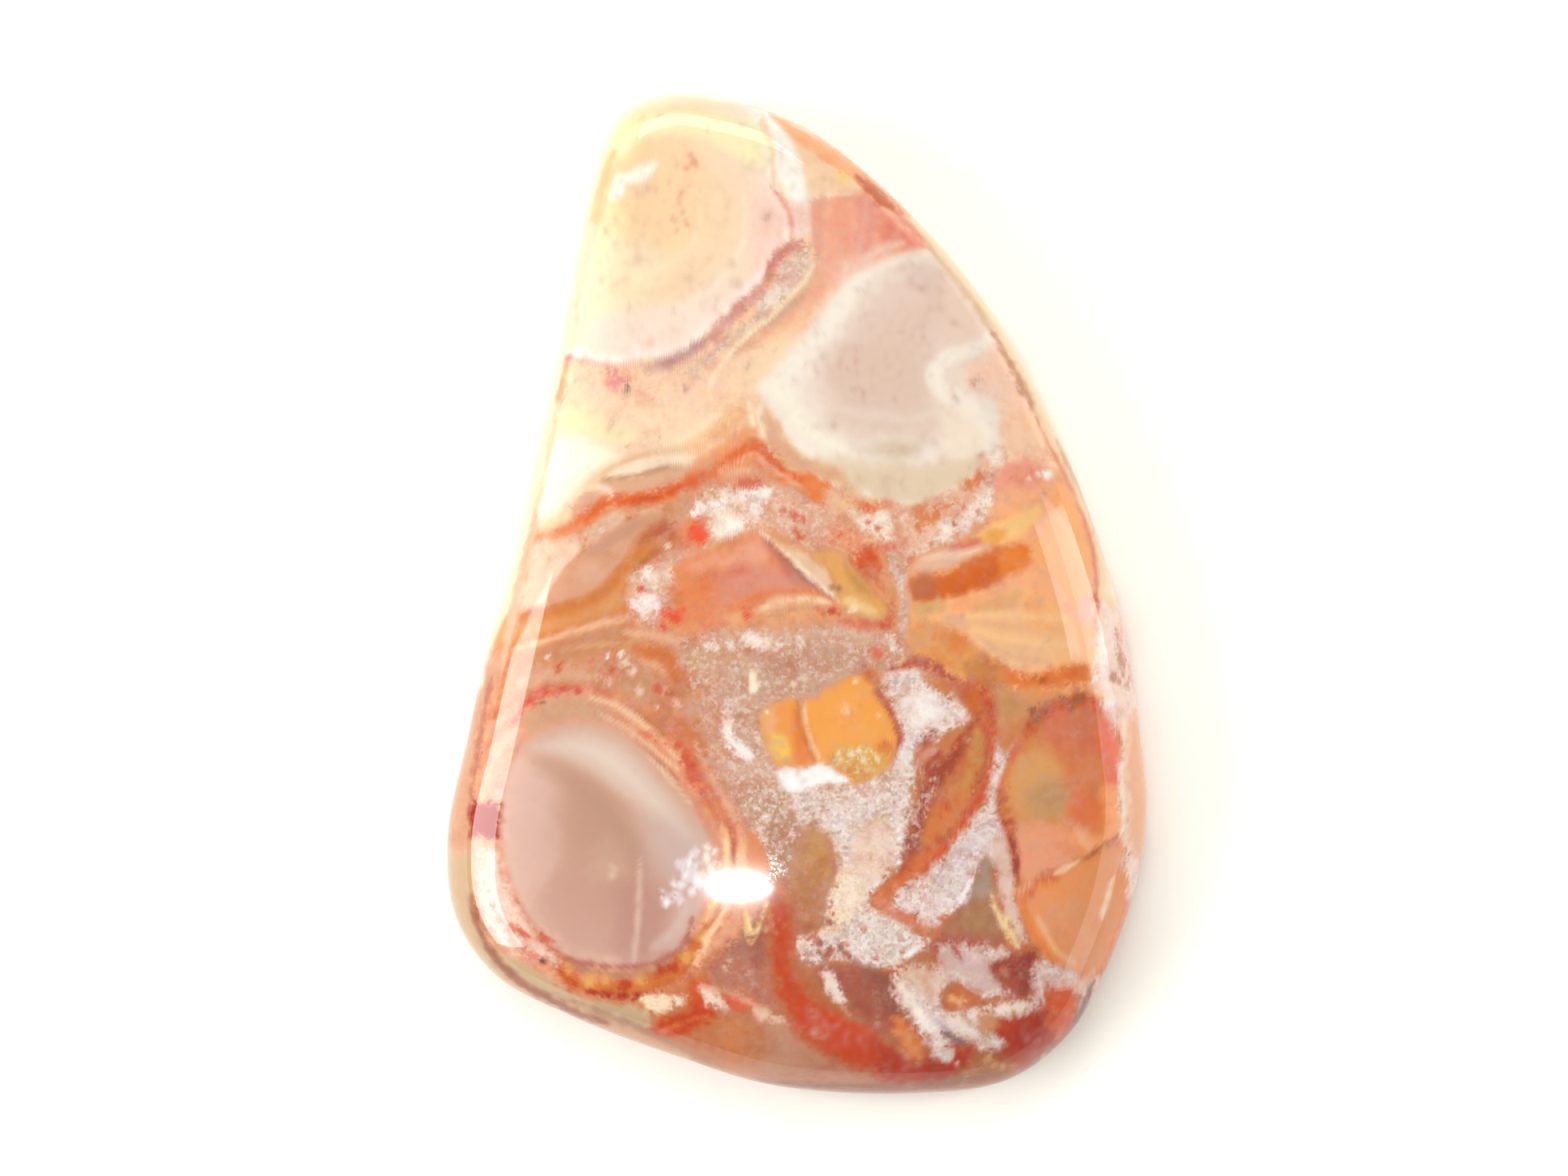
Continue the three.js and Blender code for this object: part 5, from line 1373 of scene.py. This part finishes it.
def storeMarkings(piece):
    mesh = piece.data
    flat = np.zeros(len(mesh.vertices) * 3)
    mesh.vertices.foreach_get("co", flat)
    places = flat.reshape(-1, 3) / mm
    x, y = patternPlaces(places)
    waves = [unevenness(places, *waving) for waving in paintings.values()]
    paints = [np.tile(inStone(agate["ground"]), (len(x), 1)) for _ in paintings]
    quartz = np.full(len(x), agate["groundGrain"])
    for marking in markings:
        depth = depthOf(marking, x, y)
        reaches = [reach for reach, _ in marking["inks"]]
        tints = np.array([inStone(hexColour) for _, hexColour in marking["inks"]])
        for wave, paint in zip(waves, paints):
            ragged = depth + marking["rag"] * wave
            soft = max(marking["soft"], brush["leastSoft"])
            cover = smoothStep(-soft, soft, ragged) * marking["strength"]
            ink = np.column_stack([np.interp(ragged, reaches, tints[:, channel]) for channel in range(3)])
            paint += (ink - paint) * cover[:, None]
        cover = smoothStep(-brush["quartzSoft"], brush["quartzSoft"], depth) * marking["strength"]
        quartz += (marking["grain"] - quartz) * cover
    for name, paint in zip(paintings, paints):
        attribute = mesh.attributes.new(name, "FLOAT_VECTOR", "POINT")
        attribute.data.foreach_set("vector", paint.ravel())
    attribute = mesh.attributes.new("quartz", "FLOAT", "POINT")
    attribute.data.foreach_set("value", quartz)


# The polished stone. Shares say how strongly a thing shows, and a pair is where on its scale
# it begins to show and where it shows fully
agate = {
    "ground": "#D89070", "groundGrain": 0.4, "bodyShare": 0.72, "mirrored": 0.028, "leastInk": 0.001,
    "sugaryGrain": (0.5, 1.0), "cloudyGrain": (0.1, 0.5),
    "edgeGrainPerMm": 5.0, "edgeGrain": (0.4, 0.6), "evenMix": 0.5,
    "cloudPerMm": 0.7, "cloudStain": "#DE9C78", "cloudShare": 0.55, "cloudCover": (0.42, 0.75),
    "mottlePerMm": 2.4, "mottleShare": 0.3, "leastMottle": 0.05,
    "grainPerMm": 6.0, "clumpPerMm": 1.9, "clumping": 2.0,
    "lightGrain": "#FFFCFA", "lightShare": 0.5, "lightChance": (1.4, 2.2),
    "darkGrain": "#8A5446", "darkShare": 0.3, "darkChance": (1.5, 0.8),
    "roughness": 0.05, "ior": 1.54, "pitStrength": 0.5, "pitDepth": 0.004,
}
storeMarkings(polishedStone)
print("markings laid out:", len(markings))


def addNode(tree, kind, settings=None, inputs=None):
    node = tree.nodes.new("ShaderNode" + kind)
    for name, value in (settings or {}).items():
        setattr(node, name, value)
    for socket, value in (inputs or {}).items():
        if isinstance(value, bpy.types.NodeSocket):
            tree.links.new(value, node.inputs[socket])
        else:
            node.inputs[socket].default_value = value
    return node


# A Mix node's colour sockets have numbers, because their names repeat
mixFactor, mixUnder, mixOver, mixResult = 0, 6, 7, 2


def fromEnds(pair):
    return {"From Min": pair[0], "From Max": pair[1]}


# Polished chalcedony and quartz, tumbled and buffed to a glassy gloss: the eye sees sharp
# reflections over bands, nodules and sugary grains that lie just under the surface
def polishedChalcedony():
    material = bpy.data.materials.new("polishedChalcedony")
    material.use_nodes = True
    tree = material.node_tree
    tree.nodes.clear()
    place = addNode(tree, "TexCoord").outputs["Object"]
    place = addNode(tree, "VectorMath", {"operation": "SCALE"}, {0: place, "Scale": 1 / mm}).outputs[0]

    # how sugary and how cloudy the stone is here: smooth chalcedony is neither
    quartz = addNode(tree, "Attribute", {"attribute_name": "quartz"}).outputs["Fac"]
    smooth = {"interpolation_type": "SMOOTHSTEP"}
    sugary, cloudy = (addNode(tree, "MapRange", smooth, {"Value": quartz, **fromEnds(ends)}).outputs[0]
                      for ends in (agate["sugaryGrain"], agate["cloudyGrain"]))

    # the two paintings, mixed evenly in chalcedony and grain by grain in quartz
    edge = addNode(tree, "TexNoise", None, {"Vector": place, "Scale": agate["edgeGrainPerMm"],
                                            "Detail": 3.0})
    edge = addNode(tree, "MapRange", None, {"Value": edge.outputs[0], **fromEnds(agate["edgeGrain"])})
    edge = addNode(tree, "Mix", None, {0: cloudy, 2: agate["evenMix"], 3: edge.outputs[0]})
    paints = [addNode(tree, "Attribute", {"attribute_name": name}).outputs["Vector"] for name in paintings]
    colour = addNode(tree, "Mix", {"data_type": "RGBA"},
                     {mixFactor: edge.outputs[0], mixUnder: paints[0],
                      mixOver: paints[1]}).outputs[mixResult]

    # clouds of iron stain and a finer mottle
    cloud = addNode(tree, "TexNoise", None, {"Vector": place, "Scale": agate["cloudPerMm"], "Detail": 5.0,
                                             "Roughness": 0.62, "Distortion": 0.25})
    stain = addNode(tree, "MapRange", smooth, {"Value": cloud.outputs[0], **fromEnds(agate["cloudCover"]),
                                               "To Max": agate["cloudShare"]})
    stain = addNode(tree, "Math", {"operation": "MULTIPLY"}, {0: stain.outputs[0], 1: cloudy})
    colour = addNode(tree, "Mix", {"data_type": "RGBA", "blend_type": "MULTIPLY"},
                     {mixFactor: stain.outputs[0], mixUnder: colour,
                      mixOver: linear(agate["cloudStain"])}).outputs[mixResult]
    mottle = addNode(tree, "TexNoise", None, {"Vector": place, "Scale": agate["mottlePerMm"], "Detail": 4.0,
                                              "Roughness": 0.7})
    spread = addNode(tree, "Math", {"operation": "MULTIPLY_ADD"},
                     {0: cloudy, 1: agate["mottleShare"], 2: agate["leastMottle"]})
    colour = addNode(tree, "Mix", {"data_type": "RGBA", "blend_type": "SOFT_LIGHT"},
                     {mixFactor: spread.outputs[0], mixUnder: colour,
                      mixOver: mottle.outputs["Color"]}).outputs[mixResult]

    # sugary quartz: clumps of grains a fifth of a millimetre across, lighter or darker than the next
    grains = addNode(tree, "TexVoronoi", {"feature": "F1"}, {"Vector": place, "Scale": agate["grainPerMm"]})
    chance = addNode(tree, "SeparateColor", None, {0: grains.outputs["Color"]}).outputs[0]
    clump = addNode(tree, "TexNoise", None, {"Vector": place, "Scale": agate["clumpPerMm"], "Detail": 4.0,
                                             "Roughness": 0.65})
    chance = addNode(tree, "Math", {"operation": "MULTIPLY_ADD"},
                     {0: clump.outputs[0], 1: agate["clumping"], 2: chance}).outputs[0]
    for shade in ("light", "dark"):
        part = addNode(tree, "MapRange", smooth, {"Value": chance, **fromEnds(agate[shade + "Chance"]),
                                                  "To Max": agate[shade + "Share"]})
        part = addNode(tree, "Math", {"operation": "MULTIPLY"}, {0: part.outputs[0], 1: sugary})
        tint = [*inStone(agate[shade + "Grain"]), 1]
        colour = addNode(tree, "Mix", {"data_type": "RGBA"},
                         {mixFactor: part.outputs[0], mixUnder: colour, mixOver: tint}).outputs[mixResult]

    # pits between the grains, which a buffing wheel leaves
    pits = addNode(tree, "Math", {"operation": "MULTIPLY"}, {0: grains.outputs["Distance"], 1: sugary})
    bump = addNode(tree, "Bump", None, {"Strength": agate["pitStrength"], "Distance": agate["pitDepth"] * mm,
                                        "Height": pits.outputs[0]})
    shader = addNode(tree, "BsdfPrincipled", None,
                     {"Base Color": colour, "Roughness": agate["roughness"], "IOR": agate["ior"],
                      "Normal": bump.outputs[0]})
    addNode(tree, "OutputMaterial", None, {0: shader.outputs[0]})
    return material


polishedStone.data.materials.append(polishedChalcedony())
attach(polishedStone, "root")
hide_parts("agate_cabochon")
print("stone polished")

# Floor: heavy white paper
paper = {"size": 0.9, "colour": "#F7F6F3", "paleColour": "#FAF9F6", "fibrePerMm": 0.8, "roughness": 0.9,
         "sheen": 0.1}


# Uncoated white paper: matt, with a faint fibre that only shows close to
def whitePaper():
    material = bpy.data.materials.new("whitePaper")
    material.use_nodes = True
    tree = material.node_tree
    tree.nodes.clear()
    place = addNode(tree, "TexCoord").outputs["Object"]
    fibre = addNode(tree, "TexNoise", None, {"Vector": place, "Scale": paper["fibrePerMm"] / mm,
                                             "Detail": 4.0})
    tint = addNode(tree, "Mix", {"data_type": "RGBA"},
                   {mixFactor: fibre.outputs[0], mixUnder: linear(paper["paleColour"]),
                    mixOver: linear(paper["colour"])}).outputs[mixResult]
    shader = addNode(tree, "BsdfPrincipled", None,
                     {"Base Color": tint, "Roughness": paper["roughness"],
                      "Specular IOR Level": paper["sheen"]})
    addNode(tree, "OutputMaterial", None, {0: shader.outputs[0]})
    return material


bpy.ops.object.select_all(action="DESELECT")
bpy.ops.mesh.primitive_plane_add(size=paper["size"], location=(0, 0, 0))
floor = bpy.context.object
floor.name = "paper_floor"
floor.data.materials.append(whitePaper())

# Light: a window-like softbox low on the left, a tall upright one and a broad weak one on the right,
# a big one beyond the tip, and a small lamp close to the camera. Places and sizes are in millimetres
lights = {
    "leftSoftbox": {"place": (-200, -70, 92), "faces": 0, "wide": 225, "tall": 130, "radiance": 7.0},
    "rightSoftbox": {"place": (330, 89, 246), "faces": 246, "wide": 82, "tall": 480, "radiance": 3.4},
    "rightLowSoftbox": {"place": (260, -29, 80), "faces": 0, "wide": 262, "tall": 150, "radiance": 1.7},
    "tipSoftbox": {"place": (-120, 420, 330), "faces": 0, "wide": 480, "tall": 340, "radiance": 3.4},
    "smallLamp": {"place": (-17.6, -37.6, 290), "faces": 0, "wide": 18, "tall": 1.2, "radiance": 260,
                  "shape": "ELLIPSE"},
}


# A softbox looks across the stone at the height that it "faces"
def addSoftbox(name, place, faces, wide, tall, radiance, shape="RECTANGLE"):
    bpy.ops.object.light_add(type="AREA", location=[value * mm for value in place])
    light = bpy.context.object
    light.name = name
    light.data.shape = shape
    light.data.size = wide * mm
    light.data.size_y = tall * mm
    light.data.energy = radiance * math.pi * wide * tall * mm * mm
    sideways = abs(place[0]) > abs(place[1])
    facing = Vector((0, place[1], faces) if sideways else (place[0], 0, faces)) * mm
    light.rotation_euler = (facing - light.location).to_track_quat("-Z", "Y").to_euler()
    light.visible_camera = False


for name, box in lights.items():
    addSoftbox(name, **box)

# A pale room all round, which the polish mirrors
room = {"colour": "#FFFBEE", "strength": 0.64}
world = bpy.data.worlds.new("paleRoom")
bpy.context.scene.world = world
world.use_nodes = True
background = world.node_tree.nodes["Background"]
background.inputs["Color"].default_value = linear(room["colour"])
background.inputs["Strength"].default_value = room["strength"]

# Camera: almost straight above, the narrow tip at the top of the picture
view = {"lens": 100, "sensor": 36, "frameWidth": 78.4, "elevation": 88, "aim": (-0.64, 0.2, 1.0),
        "nearest": 10}
aim = [value * mm for value in view["aim"]]
reach = view["frameWidth"] * view["lens"] / view["sensor"] * mm
tilt = math.radians(view["elevation"])
place = (aim[0], aim[1] - reach * math.cos(tilt), aim[2] + reach * math.sin(tilt))
bpy.ops.object.camera_add(location=place, rotation=(math.pi / 2 - tilt, 0, 0))
camera = bpy.context.object
camera.data.lens = view["lens"]
camera.data.sensor_width = view["sensor"]
camera.data.clip_start = view["nearest"] * mm
bpy.context.scene.camera = camera
bpy.context.scene.view_settings.view_transform = "Standard"

# The lamp's mirror image is far brighter than the rest, and the lens draws it out into a small star
star = {"Threshold": 3.0, "Streaks": 9, "Streaks Angle": math.radians(12), "Fade": 0.9, "Strength": 0.6}
bpy.context.scene.use_nodes = True
lens = bpy.context.scene.node_tree
lens.nodes.clear()
picture = lens.nodes.new("CompositorNodeRLayers")
glare = lens.nodes.new("CompositorNodeGlare")
result = lens.nodes.new("CompositorNodeComposite")
glare.glare_type = "STREAKS"
glare.quality = "HIGH"
for socket, value in star.items():
    glare.inputs[socket].default_value = value
lens.links.new(picture.outputs["Image"], glare.inputs["Image"])
lens.links.new(glare.outputs["Image"], result.inputs["Image"])
print("studio set")
